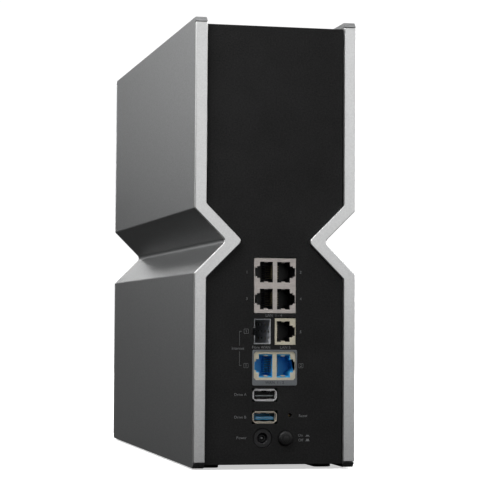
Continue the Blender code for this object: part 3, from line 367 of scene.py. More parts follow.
class Recipe:
    """A Principled material that is put together node by node on Object coordinates."""

    def __init__(self, name: str) -> None:
        """Starts the material.

        Args:
            name: The material's name.
        """
        self.made = bpy.data.materials.new(name)
        self.made.use_nodes = True
        self.tree = self.made.node_tree
        self.shader = self.tree.nodes["Principled BSDF"]
        self.place = self.tree.nodes.new("ShaderNodeTexCoord").outputs["Object"]

    def set(self, **values: float | Sequence[float]) -> "Recipe":
        """Sets constants on the shader's sockets; an underscore in a name stands for a space."""
        for name, value in values.items():
            self.shader.inputs[name.replace("_", " ")].default_value = value
        return self

    def link(self, socket: bpy.types.NodeSocket, name: str) -> "Recipe":
        """Joins a node's output to one of the shader's sockets."""
        self.tree.links.new(socket, self.shader.inputs[name])
        return self

    def add(self, kind: str, **settings: object) -> bpy.types.Node:
        """Adds a node and sets its properties."""
        node = self.tree.nodes.new(kind)
        for name, value in settings.items():
            setattr(node, name, value)
        return node

    def feed(self, node: bpy.types.Node, socket: str | int, value: object) -> None:
        """Gives one of a node's sockets a constant, or joins it to another node's output."""
        if isinstance(value, bpy.types.NodeSocket):
            self.tree.links.new(value, node.inputs[socket])
        else:
            node.inputs[socket].default_value = value

    def stretched(self, stretch: Sequence[float]) -> bpy.types.NodeSocket:
        """Returns the coordinates multiplied along each axis."""
        node = self.add("ShaderNodeMapping")
        self.feed(node, "Vector", self.place)
        node.inputs["Scale"].default_value = stretch
        return node.outputs[0]

    def noise(self, size: float, detail: float = 2.0,
              stretch: Sequence[float] = (1, 1, 1)) -> bpy.types.NodeSocket:
        """Makes a cloudy pattern.

        Args:
            size: Size of its features.
            detail: Number of finer layers.
            stretch: How much finer it is along each axis.

        Returns:
            The pattern, from 0 to 1.
        """
        node = self.add("ShaderNodeTexNoise")
        self.feed(node, "Vector", self.stretched(stretch))
        self.feed(node, "Scale", 1 / size)
        self.feed(node, "Detail", detail)
        return node.outputs["Fac"]

    def cells(self, size: float) -> bpy.types.NodeSocket:
        """Returns a random value for each small cell of about the given size."""
        node = self.add("ShaderNodeTexVoronoi", feature="F1")
        self.feed(node, "Vector", self.place)
        self.feed(node, "Scale", 1 / size)
        split = self.add("ShaderNodeSeparateColor")
        self.feed(split, 0, node.outputs["Color"])
        return split.outputs[0]

    def axis(self, index: int) -> bpy.types.NodeSocket:
        """Returns one of the coordinates."""
        split = self.add("ShaderNodeSeparateXYZ")
        self.feed(split, 0, self.place)
        return split.outputs[index]

    def reach(self, value: bpy.types.NodeSocket, low: float, high: float, start: float = 0.0,
              end: float = 1.0) -> bpy.types.NodeSocket:
        """Maps a value's range from low and high onto start and end, and clamps it there."""
        node = self.add("ShaderNodeMapRange", clamp=True)
        for name, number in (("From Min", low), ("From Max", high), ("To Min", start), ("To Max", end)):
            self.feed(node, name, number)
        self.feed(node, "Value", value)
        return node.outputs[0]

    def sum(self, operation: str, first: object, second: object) -> bpy.types.NodeSocket:
        """Joins two values by an operation of the Math node."""
        node = self.add("ShaderNodeMath", operation=operation)
        self.feed(node, 0, first)
        self.feed(node, 1, second)
        return node.outputs[0]

    def blend(self, share: object, first: object, second: object) -> bpy.types.NodeSocket:
        """Mixes two colours."""
        node = self.add("ShaderNodeMix", data_type="RGBA")
        self.feed(node, "Factor", share)
        for socket, colour in (("A", first), ("B", second)):
            chosen = next(i for i in node.inputs if i.name == socket and i.type == "RGBA")
            if isinstance(colour, bpy.types.NodeSocket):
                self.tree.links.new(colour, chosen)
            else:
                chosen.default_value = (*colour, 1)
        return next(o for o in node.outputs if o.type == "RGBA")

    def bump(self, height: bpy.types.NodeSocket, distance: float) -> None:
        """Turns a height pattern of the given depth into the shader's normal."""
        node = self.add("ShaderNodeBump")
        self.feed(node, "Height", height)
        self.feed(node, "Distance", distance)
        self.feed(node, "Strength", 1.0)
        self.link(node.outputs[0], "Normal")


@dataclass(frozen=True)
class Finish:
    """A named finish; each kind says how its material is made."""

    name: str
    colour: Colour
    roughness: float = 0.5

    def material(self) -> bpy.types.Material:
        """Returns the material, which is made the first time that it is asked for."""
        label = f"{self.name}_finish"
        found = bpy.data.materials.get(label)
        if found is None:
            recipe = Recipe(label)
            self.make(recipe)
            found = recipe.made
        return found

    def shade(self, factor: float) -> Colour:
        """Returns the finish's colour made darker or lighter."""
        return tuple(min(1.0, part * factor) for part in self.colour)

    def make(self, recipe: Recipe) -> None:
        """Sets up the shader; the kinds of finish replace this."""
        raise NotImplementedError


@dataclass(frozen=True)
class MetallicPaint(Finish):
    """Sprayed metallic paint: tiny flakes of differing brightness in a finely grained satin coat."""

    metallic: float = 0.6
    flake: float = 0.0007
    contrast: float = 0.38
    grain: float = 0.00045
    depth: float = 0.000012

    def make(self, recipe: Recipe) -> None:
        """Sets up two sizes of flakes, a faint drift in the tone, sparkling gloss and the grain."""
        recipe.set(Metallic=self.metallic)
        flakes = recipe.cells(self.flake)
        fine = recipe.cells(self.flake * 0.45)
        drift = recipe.noise(0.05, 2)
        mixed = recipe.sum("ADD", recipe.sum("MULTIPLY", flakes, 0.55), recipe.sum("MULTIPLY", fine, 0.35))
        mixed = recipe.sum("ADD", mixed, recipe.sum("MULTIPLY", drift, 0.10))
        tone = recipe.blend(mixed, self.shade(1 - self.contrast), self.shade(1 + self.contrast))
        recipe.link(tone, "Base Color")
        recipe.link(recipe.reach(fine, 0, 1, self.roughness - 0.03, self.roughness + 0.03), "Roughness")
        recipe.bump(recipe.noise(self.grain, 2), self.depth)


@dataclass(frozen=True)
class MouldedPlastic(Finish):
    """Moulded plastic with a spark-eroded texture."""

    grain: float = 0.0009
    depth: float = 0.00004
    fleck: float = 0.42
    specular: float = 0.4

    def make(self, recipe: Recipe) -> None:
        """Sets up a mottled colour, uneven gloss and the eroded texture."""
        recipe.set(**{"Specular_IOR_Level": self.specular})
        grain = recipe.noise(self.grain, 3)
        patch = recipe.noise(0.02, 3)
        mixed = recipe.sum("ADD", recipe.sum("MULTIPLY", grain, 0.7), recipe.sum("MULTIPLY", patch, 0.3))
        spread = recipe.reach(mixed, 0.35, 0.65)
        tone = recipe.blend(spread, self.shade(1 - self.fleck), self.shade(1 + self.fleck))
        recipe.link(tone, "Base Color")
        recipe.link(recipe.reach(grain, 0.3, 0.7, self.roughness + 0.06, self.roughness - 0.04), "Roughness")
        recipe.bump(grain, self.depth)


@dataclass(frozen=True)
class PlatedSheet(Finish):
    """Plated sheet metal: faint rolling lines, cloudy gloss and a few darker spots."""

    lines: Sequence[float] = (1, 1, 12)
    depth: float = 0.000006
    metallic: float = 0.9

    def make(self, recipe: Recipe) -> None:
        """Sets up the rolling lines and the clouded plating."""
        recipe.set(Metallic=self.metallic)
        lines = recipe.noise(0.0016, 4, self.lines)
        cloud = recipe.noise(0.004, 4)
        mixed = recipe.sum("ADD", recipe.sum("MULTIPLY", lines, 0.5), recipe.sum("MULTIPLY", cloud, 0.5))
        spread = recipe.reach(mixed, 0.35, 0.65)
        recipe.link(recipe.blend(spread, self.shade(0.84), self.shade(1.1)), "Base Color")
        recipe.link(recipe.reach(cloud, 0.3, 0.7, self.roughness - 0.06, self.roughness + 0.1), "Roughness")
        recipe.bump(lines, self.depth)


@dataclass(frozen=True)
class SmokedLens(Finish):
    """Polished smoked plastic over a grid of unlit display dots."""

    pitch: float = 0.0058
    dot: float = 0.0011
    low_z: float = 0.168
    high_z: float = 0.244
    half_width: float = 0.026

    def make(self, recipe: Recipe) -> None:
        """Sets up the grid of dots, which lies inside a window, under a clear coat."""
        recipe.set(**{"Specular_IOR_Level": 0.6, "Coat_Weight": 0.6, "Coat_Roughness": 0.03})
        x, z = recipe.axis(0), recipe.axis(2)
        far = []
        for part, shift in ((x, self.pitch / 2), (z, 0.0)):
            wrapped = recipe.sum("PINGPONG", recipe.sum("ADD", part, shift), self.pitch / 2)
            far.append(recipe.sum("MULTIPLY", wrapped, wrapped))
        distance = recipe.sum("SQRT", recipe.sum("ADD", far[0], far[1]), 0)
        dots = recipe.reach(distance, self.dot * 0.8, self.dot, 1, 0)
        inside = recipe.sum("LESS_THAN", recipe.sum("ABSOLUTE", x, 0), self.half_width)
        above = recipe.sum("GREATER_THAN", z, self.low_z)
        below = recipe.sum("LESS_THAN", z, self.high_z)
        window = recipe.sum("MULTIPLY", recipe.sum("MULTIPLY", inside, above), below)
        shown = recipe.sum("MULTIPLY", dots, window)
        recipe.link(recipe.blend(shown, self.colour, (0.035, 0.036, 0.040)), "Base Color")
        haze = recipe.noise(0.02, 3)
        recipe.link(recipe.reach(haze, 0.3, 0.7, self.roughness, self.roughness + 0.05), "Roughness")


@dataclass(frozen=True)
class SolderMask(Finish):
    """A circuit board: solder mask over fine copper tracks, with a scatter of pads."""

    def make(self, recipe: Recipe) -> None:
        """Sets up the tracks, the pads and the mask's gloss."""
        tracks = recipe.add("ShaderNodeTexBrick")
        turned = recipe.add("ShaderNodeMapping")
        turned.inputs["Rotation"].default_value = (0, math.pi / 2, 0)
        recipe.feed(turned, "Vector", recipe.place)
        recipe.feed(tracks, "Vector", turned.outputs[0])
        pattern = {"Scale": 130.0, "Mortar Size": 0.03, "Brick Width": 0.9, "Row Height": 0.18}
        for name, value in pattern.items():
            recipe.feed(tracks, name, value)
        base = recipe.blend(tracks.outputs["Fac"], self.colour, self.shade(1.9))
        pads = recipe.reach(recipe.cells(0.0022), 0.93, 0.95)
        recipe.link(recipe.blend(pads, base, (0.42, 0.38, 0.28)), "Base Color")
        gloss = recipe.reach(recipe.noise(0.006, 3), 0.3, 0.7, self.roughness, self.roughness + 0.15)
        recipe.link(gloss, "Roughness")
        recipe.bump(tracks.outputs["Fac"], 0.00003)


@dataclass(frozen=True)
class Rubber(Finish):
    """Soft rubber with a dusty, uneven skin."""

    def make(self, recipe: Recipe) -> None:
        """Sets up the dust and the skin."""
        recipe.set(**{"Specular_IOR_Level": 0.25, "Sheen_Weight": 0.15})
        dust = recipe.reach(recipe.noise(0.003, 5), 0.35, 0.7)
        recipe.link(recipe.blend(dust, self.colour, self.shade(1.9)), "Base Color")
        recipe.link(recipe.reach(dust, 0, 1, self.roughness - 0.08, self.roughness + 0.05), "Roughness")
        recipe.bump(recipe.noise(0.0005, 3), 0.00003)


@dataclass(frozen=True)
class Ink(Finish):
    """Screen-printed ink, slightly uneven."""

    def make(self, recipe: Recipe) -> None:
        """Sets up the patchy print."""
        recipe.set(**{"Specular_IOR_Level": 0.2})
        patch = recipe.reach(recipe.noise(0.0006, 3), 0.3, 0.7)
        recipe.link(recipe.blend(patch, self.shade(0.8), self.shade(1.1)), "Base Color")
        recipe.link(recipe.reach(patch, 0, 1, self.roughness, self.roughness + 0.1), "Roughness")


GREY_PAINT = MetallicPaint("grey_metallic_paint", (0.165, 0.168, 0.170), 0.42, metallic=0.70, contrast=0.30)
SILVER_PAINT = MetallicPaint(
    "silver_paint", (0.70, 0.705, 0.705), 0.33, metallic=0.9, contrast=0.08, depth=0.000004)
PANEL_PLASTIC = MouldedPlastic("panel_plastic", (0.0125, 0.0125, 0.0127), 0.62, specular=0.26)
INNER_PLASTIC = MouldedPlastic("inner_plastic", (0.022, 0.022, 0.023), 0.55)
GRILLE_PLASTIC = MouldedPlastic("grille_plastic", (0.016, 0.016, 0.0165), 0.58)
BUTTON_PLASTIC = MouldedPlastic("button_plastic", (0.013, 0.013, 0.0135), 0.48, grain=0.0003, depth=0.000008)
SOCKET_BLACK = MouldedPlastic("socket_black", (0.005, 0.005, 0.0053), 0.42, grain=0.0003, depth=0.00001)
SOCKET_BLUE = MouldedPlastic("socket_blue", (0.05, 0.50, 1.0), 0.42, grain=0.0003, depth=0.00001, fleck=0.08)
TONGUE_BLUE = MouldedPlastic("tongue_blue", (0.03, 0.28, 0.55), 0.38, grain=0.0003, depth=0.00001, fleck=0.08)
SURROUND_GREY = MouldedPlastic(
    "surround_grey", (0.19, 0.205, 0.22), 0.50, grain=0.0005, depth=0.00001, fleck=0.08)
CHIP_EPOXY = MouldedPlastic("chip_epoxy", (0.014, 0.014, 0.015), 0.5, grain=0.0004, depth=0.00001)
AMBER_FILM = MouldedPlastic("amber_film", (0.42, 0.19, 0.03), 0.35, grain=0.001, depth=0.00001, fleck=0.1)
LAN_SHEET = PlatedSheet("lan_sheet", (0.66, 0.61, 0.58), 0.50, metallic=0.45)
WARM_SHEET = PlatedSheet("warm_sheet", (0.78, 0.73, 0.58), 0.50, metallic=0.45)
CAGE_SHEET = PlatedSheet("cage_sheet", (0.66, 0.67, 0.70), 0.50, metallic=0.15)
STEEL_SHEET = PlatedSheet("steel_sheet", (0.82, 0.82, 0.83), 0.38, metallic=0.6)
CHAMPAGNE_SHEET = PlatedSheet("champagne_sheet", (0.66, 0.60, 0.50), 0.42, metallic=0.6)
# Gold plating whose colour is darkened to paint the shade that falls on the contacts deep inside the sockets.
SHADE_DARKENED_GOLD = PlatedSheet("shade_darkened_gold", (0.34, 0.29, 0.17), 0.32)
INLET_PLASTIC = MouldedPlastic("inlet_plastic", (0.017, 0.017, 0.0185), 0.50, grain=0.0005, depth=0.00001)
GLYPH_PLASTIC = MouldedPlastic("glyph_plastic", (0.003, 0.003, 0.003), 0.60, grain=0.0003, depth=0.00001)
CONTACT_TIN = PlatedSheet("contact_tin", (0.30, 0.35, 0.35), 0.42, metallic=0.5)
BRASS_PLATE = PlatedSheet("brass_plate", (0.62, 0.46, 0.22), 0.3)
EXTRUDED_ALUMINIUM = PlatedSheet("extruded_aluminium", (0.62, 0.63, 0.64), 0.40, lines=(12, 12, 1))
LENS = SmokedLens("smoked_lens", (0.006, 0.006, 0.008), 0.06)
DISPLAY_GLASS = SmokedLens("display_glass", (0.010, 0.011, 0.014), 0.08, low_z=9.0, high_z=9.1)
MASK_GREEN = SolderMask("solder_mask", (0.010, 0.070, 0.030), 0.35)
FOOT_RUBBER = Rubber("foot_rubber", (0.014, 0.014, 0.014), 0.82)
GREY_INK = Ink("grey_ink", (0.23, 0.235, 0.24), 0.55)
DARK_INK = Ink("dark_ink", (0.030, 0.032, 0.035), 0.55)


# ---------------------------------------------------------------- body


@dataclass
class Shell:
    """The outer shell: side covers, trims, rear panel, grille, base and feet."""

    cover_edge: float = 0.00035
    trim_edge: float = 0.00045
    panel_edge: float = 0.00022
    vent_edge: float = 0.00035
    foot_edge: float = 0.0006

    def build(self) -> None:
        """Builds each piece of the shell."""
        for word in SIDES:
            cover = f"side_cover_{word}"
            skin = Solid().node(cover, self.cover_edge, 2)
            skin.finish(f"{cover}_skin", GREY_PAINT, replaces=[cover], slot="grey_paint")
            for end in ENDS:
                trim = f"{end}_trim_{word}"
                strip = Solid().node(trim, self.trim_edge, 3)
                strip.finish(f"{trim}_strip", SILVER_PAINT, replaces=[trim], slot="silver_paint")
        for node, edge, finish, slot in (
            ("rear_panel", self.panel_edge, PANEL_PLASTIC, "black_plastic"),
            ("top_grille", self.vent_edge, GRILLE_PLASTIC, "black_plastic"),
            ("base_plate", self.vent_edge, GRILLE_PLASTIC, "black_plastic"),
        ):
            Solid().node(node, edge, 2).finish(f"{node}_moulding", finish, replaces=[node], slot=slot)
        for end in ENDS:
            for word in SIDES:
                foot = f"foot_{end}_{word}"
                pad = Solid().node(foot, self.foot_edge, 3)
                pad.finish(f"{foot}_pad", FOOT_RUBBER, replaces=[foot], slot="rubber")


@dataclass
class Display:
    """The display side: a polished lens."""

    lens_edge: float = 0.0004

    def build(self) -> None:
        """Builds the lens."""
        Solid().node("front_lens", self.lens_edge, 3).finish(
            "front_lens_face", LENS, replaces=["front_lens"], slot="gloss_lens")


# ---------------------------------------------------------------- inside


@dataclass
class Inside:
    """The inner parts, which show through the vents and keep their own shapes."""

    def build(self) -> None:
        """Dresses each inner node in its finish."""
        dressed: dict[Finish, list[str]] = {
            INNER_PLASTIC: ["side_frame_left", "side_frame_right", "front_bezel"],
            MASK_GREEN: ["main_board", "port_board", "dot_display_board"],
            CHIP_EPOXY: ["processor"],
            SOCKET_BLACK: ["board_link", "power_switch", "reset_switch", "fibre_connector"],
            CAGE_SHEET: ["radio_shield_upper", "radio_shield_lower"],
            EXTRUDED_ALUMINIUM: ["heatsink_lower", "heatsink_upper"],
            DISPLAY_GLASS: ["touch_display"],
            AMBER_FILM: ["front_flex_cable"] + [f"antenna_{a}_{b}" for a in ENDS for b in SIDES],
            STEEL_SHEET: [f"board_screw_{n}" for n in range(1, 5)]
            + [f"base_screw_{a}_{b}" for a in ENDS for b in SIDES],
            BRASS_PLATE: ["reset_button"],
        }
        for finish, nodes in dressed.items():
            for name in nodes:
                mesh = frame["nodes"][name].data
                mesh.materials.clear()
                mesh.materials.append(finish.material())
                LOG.info("%s wears %s", name, finish.name)


# ---------------------------------------------------------------- ports


@dataclass
class Socket:
    """One network socket's hollow, read from the record's openings.

    Attributes:
        low: Lowest corner of the hollow.
        high: Highest corner of the hollow.
        side: +1 where the latch faces +X, and -1 where it faces -X.
    """

    low: Vector
    high: Vector
    side: int

    @classmethod
    def named(cls, name: str) -> "Socket":
        """Finds a socket by the name of its opening."""
        openings = {o["name"]: o["box_m"] for o in frame["record"]["physics"]["openings"]}
        low, high = (Vector(corner) for corner in openings[name])
        return cls(low, high, 1 if low.x + high.x > 0 else -1)

    @property
    def middle(self) -> Vector:
        """The hollow's middle."""
        return (self.low + self.high) / 2

    @property
    def inner_x(self) -> float:
        """The wall that the contacts lie on, next to the jack's middle."""
        return min(abs(self.low.x), abs(self.high.x)) * self.side


@dataclass
class NetworkJack:
    """A network jack: a plated shield with spring tabs, a housing and its rows of contacts."""

    name: str
    sockets: Sequence[str]
    sheet: Finish
    plastic: Finish
    slot: str
    sheet_edge: float = 0.00009
    moulding_edge: float = 0.00012
    margin: float = 0.0001
    contact_setback: float = 0.0022
    contact_foot: float = 0.0004
    contact_width: float = 0.00036
    contact_pitch: float = 0.00102
    contact_count: int = 8
    contact_run: float = 0.0075
    contact_rise: float = 0.0026
    contact_thickness: float = 0.00022
    rib_lift: float = 0.0002
    rib_half: float = 0.0002
    rib_depth: float = 0.0052
    rib_reach: float = 0.0034
    rib_edge: float = 0.00006
    tab_width: float = 0.0022
    tab_reach: float = 0.0004
    tab_depth: float = 0.0018
    tab_thickness: float = 0.00022

    def build(self) -> None:
        """Builds the shield, the housing, the contacts and the tabs."""
        shield, housing = f"{self.name}_shield", f"{self.name}_housing"
        screen = Solid().node(shield, self.sheet_edge, 1)
        screen.finish(f"{shield}_sheet", self.sheet, replaces=[shield], slot="jack_metal")
        moulding = Solid().node(housing, self.moulding_edge, 1)
        moulding.finish(f"{housing}_moulding", self.plastic, replaces=[housing], slot=self.slot)
        sockets = [Socket.named(name) for name in self.sockets]
        contacts, combs, tabs = Solid(), Solid(), Solid()
        for socket in sockets:
            self.add_contacts(contacts, socket)
            self.add_comb(combs, socket)
            self.add_tabs(tabs, socket)
        # The contacts wear gold that is darkened with painted shade for the inside of the sockets.
        contacts.finish(f"{self.name}_contacts", SHADE_DARKENED_GOLD)
        combs.finish(f"{self.name}_combs", self.plastic)
        tabs.finish(f"{self.name}_tabs", self.sheet)

    def add_contacts(self, contacts: Solid, socket: Socket) -> None:
        """Adds a socket's row of slanting spring contacts.

        Args:
            contacts: Where they are gathered.
            socket: The socket that they belong to.
        """
        front = socket.high.y - self.contact_setback
        wall = socket.inner_x - socket.side * self.margin
        for index in range(self.contact_count):
            z = socket.middle.z + (index - (self.contact_count - 1) / 2) * self.contact_pitch
            spring = [
                (wall + socket.side * self.contact_foot, front),
                (wall + socket.side * (self.contact_foot + self.contact_thickness), front),
                (wall + socket.side * (self.contact_rise + self.contact_thickness), front - self.contact_run),
                (wall + socket.side * self.contact_rise, front - self.contact_run),
            ]
            contacts.prism([spring], Axis.Z, z - self.contact_width / 2, z + self.contact_width / 2)

    def add_comb(self, combs: Solid, socket: Socket) -> None:
        """Adds the ribs that part a socket's contacts at the back of its hollow.

        Args:
            combs: Where they are gathered.
            socket: The socket that they belong to.
        """
        wall = socket.inner_x
        bottom = socket.low.y + self.rib_lift
        for index in range(self.contact_count + 1):
            z = socket.middle.z + (index - self.contact_count / 2) * self.contact_pitch
            near, far = sorted((wall + socket.side * self.margin, wall + socket.side * self.rib_reach))
            start = (near, bottom, z - self.rib_half)
            combs.box(start, (far, bottom + self.rib_depth, z + self.rib_half), self.rib_edge, 1)

    def add_tabs(self, tabs: Solid, socket: Socket) -> None:
        """Adds the two bent tabs that touch a plug's screen, above and below the hollow.

        Args:
            tabs: Where they are gathered.
            socket: The socket that they belong to.
        """
        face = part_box(f"{self.name}_shield")[1].y
        for z, way in ((socket.low.z, 1), (socket.high.z, -1)):
            edge = z - way * self.margin
            bend = [
                (face - self.margin, edge - way * self.margin),
                (face - self.margin, edge + way * self.tab_thickness),
                (face - self.tab_depth, edge + way * (self.tab_reach + self.tab_thickness)),
                (face - self.tab_depth, edge + way * self.tab_reach),
            ]
            x = socket.middle.x
            tabs.prism([bend], Axis.X, x - self.tab_width / 2, x + self.tab_width / 2)


@dataclass
class FibreCage:
    """The fibre module cage: sheet walls with rows of vent holes, and a latch notch."""

    sheet: float = 0.0003
    hole_length: float = 0.0034
    hole_height: float = 0.0014
    hole_corner: float = 0.0003
    hole_pitch_z: float = 0.0040
    hole_pitch_y: float = 0.0088
    hole_start: float = 0.0040
    rows: int = 3
    columns: int = 5
    notch_half: float = 0.0022
    notch_depth: float = 0.009

    def build(self) -> None:
        """Builds the walls."""
        low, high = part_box("fibre_cage")
        walls = Solid()
        middle = (low + high) / 2
        holes = []
        for row in range(self.rows):
            for column in range(self.columns):
                y = high.y - self.hole_start - column * self.hole_pitch_y
                z = middle.z + (row - (self.rows - 1) / 2) * self.hole_pitch_z
                holes.append(rectangle(y, z, self.hole_length, self.hole_height, self.hole_corner))
        side = rectangle(middle.y, middle.z, high.y - low.y, high.z - low.z)
        walls.prism([side, *holes], Axis.X, low.x, low.x + self.sheet)
        inner, under, over = high.y - self.notch_depth, middle.z - self.notch_half, middle.z + self.notch_half
        notched = [
            (low.y, low.z), (high.y, low.z), (high.y, under), (inner, under),
            (inner, over), (high.y, over), (high.y, high.z), (low.y, high.z),
        ]
        walls.prism([notched], Axis.X, high.x - self.sheet, high.x)
        for z in (low.z, high.z - self.sheet):
            walls.box((low.x + self.sheet, low.y, z), (high.x - self.sheet, high.y, z + self.sheet))
        back = (high.x - self.sheet, low.y + self.sheet, high.z - self.sheet)
        walls.box((low.x + self.sheet, low.y, low.z + self.sheet), back)
        walls.finish("fibre_cage_walls", CAGE_SHEET, replaces=["fibre_cage"], slot="cage_metal")


@dataclass
class UsbSocket:
    """A USB socket: a flared sheet shell with spring tabs, and a tongue with its contacts."""

    name: str
    shell_finish: Finish
    tongue_finish: Finish
    tongue_slot: str
    contacts: int
    corner_cut: float = 0.0018
    rim: float = 0.00055
    flare: float = 0.00075
    sheet: float = 0.0003
    flare_depth: float = 0.0008
    corner: float = 0.0003
    contact_width: float = 0.0009
    contact_length: float = 0.0076
    contact_setback: float = 0.0009
    contact_rise: float = 0.0004
    tab_half: float = 0.0011

    def build(self) -> None:
        """Builds the shell, the tongue, the tabs and the contacts."""
        low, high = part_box(f"{self.name}_shell")
        tongue_low, tongue_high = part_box(f"{self.name}_tongue")
        middle = (low + high) / 2
        width, height = high.x - low.x, high.z - low.z
        inner_width = width - 2 * (self.flare + self.sheet)
        inner_height = height - 2 * (self.flare + self.sheet)
        across, up = middle.x, middle.z
        mouth = clipped(across, up, width, height, self.corner_cut, self.corner)
        lip_width, lip_height = width - 2 * self.rim, height - 2 * self.rim
        lip = clipped(across, up, lip_width, lip_height, self.corner_cut * 0.75, self.corner)
        hollow = rectangle(across, up, inner_width, inner_height, self.corner)
        outer_width, outer_height = inner_width + 2 * self.sheet, inner_height + 2 * self.sheet
        outer = rectangle(across, up, outer_width, outer_height, 0.0004)
        shell = Solid().prism([mouth, lip], Axis.Y, high.y - self.flare_depth, high.y, 0.00018, 2)
        shell.prism([outer, hollow], Axis.Y, low.y, high.y - self.flare_depth + 0.00005)
        shell.finish(
            f"{self.name}_shell_sheet", self.shell_finish, replaces=[f"{self.name}_shell"], slot="steel")
        tongue = f"{self.name}_tongue"
        moulding = Solid().node(tongue, 0.00012, 1)
        moulding.finish(f"{tongue}_moulding", self.tongue_finish, replaces=[tongue], slot=self.tongue_slot)
        self.add_contacts(middle, tongue_low, tongue_high)
        tabs = Solid()
        for x in (across - inner_width / 4, across + inner_width / 4):
            for z, way in ((up - inner_height / 2, 1), (up + inner_height / 2, -1)):
                bend = [
                    (high.y - 0.0002, z - way * 0.00005), (high.y - 0.0002, z + way * 0.0001),
                    (high.y - 0.0045, z + way * 0.0007), (high.y - 0.0075, z + way * 0.00025),
                    (high.y - 0.0075, z - way * 0.00005),
                ]
                tabs.prism([bend], Axis.X, x - self.tab_half, x + self.tab_half)
        tabs.finish(f"{self.name}_tabs", self.shell_finish)

    def add_contacts(self, middle: Vector, low: Vector, high: Vector) -> None:
        """Builds the contacts over the tongue and the bright line on its edge.

        Args:
            middle: Middle of the shell.
            low: Lowest corner of the tongue.
            high: Highest corner of the tongue.
        """
        strips = Solid()
        pitch = (high.x - low.x) / (self.contacts + 1)
        half = self.contact_width / 2
        tongue_z = (low.z + high.z) / 2
        blade_z = middle.z + self.contact_rise
        back = high.y - self.contact_setback - self.contact_length
        for index in range(self.contacts):
            x = middle.x + (index - (self.contacts - 1) / 2) * pitch
            end = (x + half, high.y - self.contact_setback, blade_z + 0.00012)
            strips.box((x - half, back, blade_z - 0.00005), end, 0.00005, 1)
        strips.finish(f"{self.name}_contacts", CONTACT_TIN)
        edge_half = (high.x - low.x) / 2 - 0.0006
        line = Solid().box(
            (middle.x - edge_half, high.y - 0.0002, tongue_z - 0.0006),
            (middle.x + edge_half, high.y + 0.00012, tongue_z - 0.0002), 0.00005, 1)
        line.finish(f"{self.name}_tongue_edge", CONTACT_TIN)


@dataclass
class PowerInlet:
    """The barrel inlet with its insulating sleeve and centre pin."""

    edge: float = 0.00018
    sleeve_radius: float = 0.0020
    sleeve_wall: float = 0.0005
    sleeve_length: float = 0.005
    sleeve_setback: float = 0.0016

    def build(self) -> None:
        """Builds the body, the sleeve and the pin."""
        body = Solid().node("inlet_body", self.edge, 2)
        body.finish("inlet_body_moulding", INLET_PLASTIC, replaces=["inlet_body"], slot="socket_black")
        low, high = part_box("inlet_pin")
        middle = (low + high) / 2
        radius = (high.x - low.x) / 2
        length = high.y - low.y
        turns = [math.radians(18 * step) for step in range(6)]
        dome = [(radius * math.sin(turn), length - radius * (1 - math.cos(turn))) for turn in turns]
        pin = Solid().turned([*dome, (radius, 0), (0, 0)], (middle.x, low.y, middle.z), Axis.Y, 24)
        pin.finish("inlet_pin_turned", STEEL_SHEET, replaces=["inlet_pin"], slot="steel")
        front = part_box("inlet_body")[1].y - self.sleeve_setback
        outer, inner, back = self.sleeve_radius, self.sleeve_radius - self.sleeve_wall, -self.sleeve_length
        ring = [(outer, 0), (outer, back), (inner, back), (inner, 0), (outer, 0)]
        Solid().turned(ring, (middle.x, front, middle.z), Axis.Y, 40).finish("inlet_sleeve", INNER_PLASTIC)


@dataclass
class PowerButton:
    """The power button: a crowned cap with a standby glyph let into its face."""

    crown: float = 0.00045
    fillet: float = 0.0013
    skirt: float = 0.0060
    stem: float = 0.0016
    glyph_radius: float = 0.0021
    glyph_line: float = 0.00048
    glyph_gap: float = math.radians(30)

    def build(self) -> None:
        """Builds the cap and the glyph."""
        low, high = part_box("power_button")
        middle = (low + high) / 2
        radius = (high.x - low.x) / 2
        flat = radius - self.fillet
        crown = [(flat * share, -self.crown * share * share) for share in (0, 0.25, 0.5, 0.75, 1)]
        turns = [math.radians(15 * step) for step in range(1, 7)]
        drop = self.crown + self.fillet
        edge = [(flat + self.fillet * math.sin(turn), self.fillet * math.cos(turn) - drop) for turn in turns]
        length = high.y - low.y
        back = [(radius, -self.skirt), (self.stem, -self.skirt), (self.stem, -length), (0, -length)]
        cap = Solid().turned([*crown, *edge, *back], (middle.x, high.y, middle.z), Axis.Y, 64)
        cap.finish(
            "power_button_cap", BUTTON_PLASTIC, body="power_key", replaces=["power_button"],
            slot="black_plastic")
        steps = 30
        start, end = -math.pi / 2 + self.glyph_gap, 3 * math.pi / 2 - self.glyph_gap
        rim: Loop = []
        for reach, order in ((self.glyph_line / 2, 1), (-self.glyph_line / 2, -1)):
            arc = [start + (end - start) * step / steps for step in range(steps + 1)][::order]
            far = self.glyph_radius + reach
            rim += [(middle.x + far * math.cos(turn), middle.z + far * math.sin(turn)) for turn in arc]
        sink = self.crown * (self.glyph_radius / flat) ** 2
        glyph = Solid().prism([rim], Axis.Y, high.y - sink - 0.0003, high.y - sink + 0.00006)
        bar_height = self.glyph_radius * 1.1
        bar = rectangle(middle.x, middle.z - bar_height / 2, self.glyph_line, bar_height)
        glyph.prism([bar], Axis.Y, high.y - sink - 0.0003, high.y - 0.00002)
        glyph.finish("power_button_glyph", GLYPH_PLASTIC, body="power_key", slot="black_plastic")


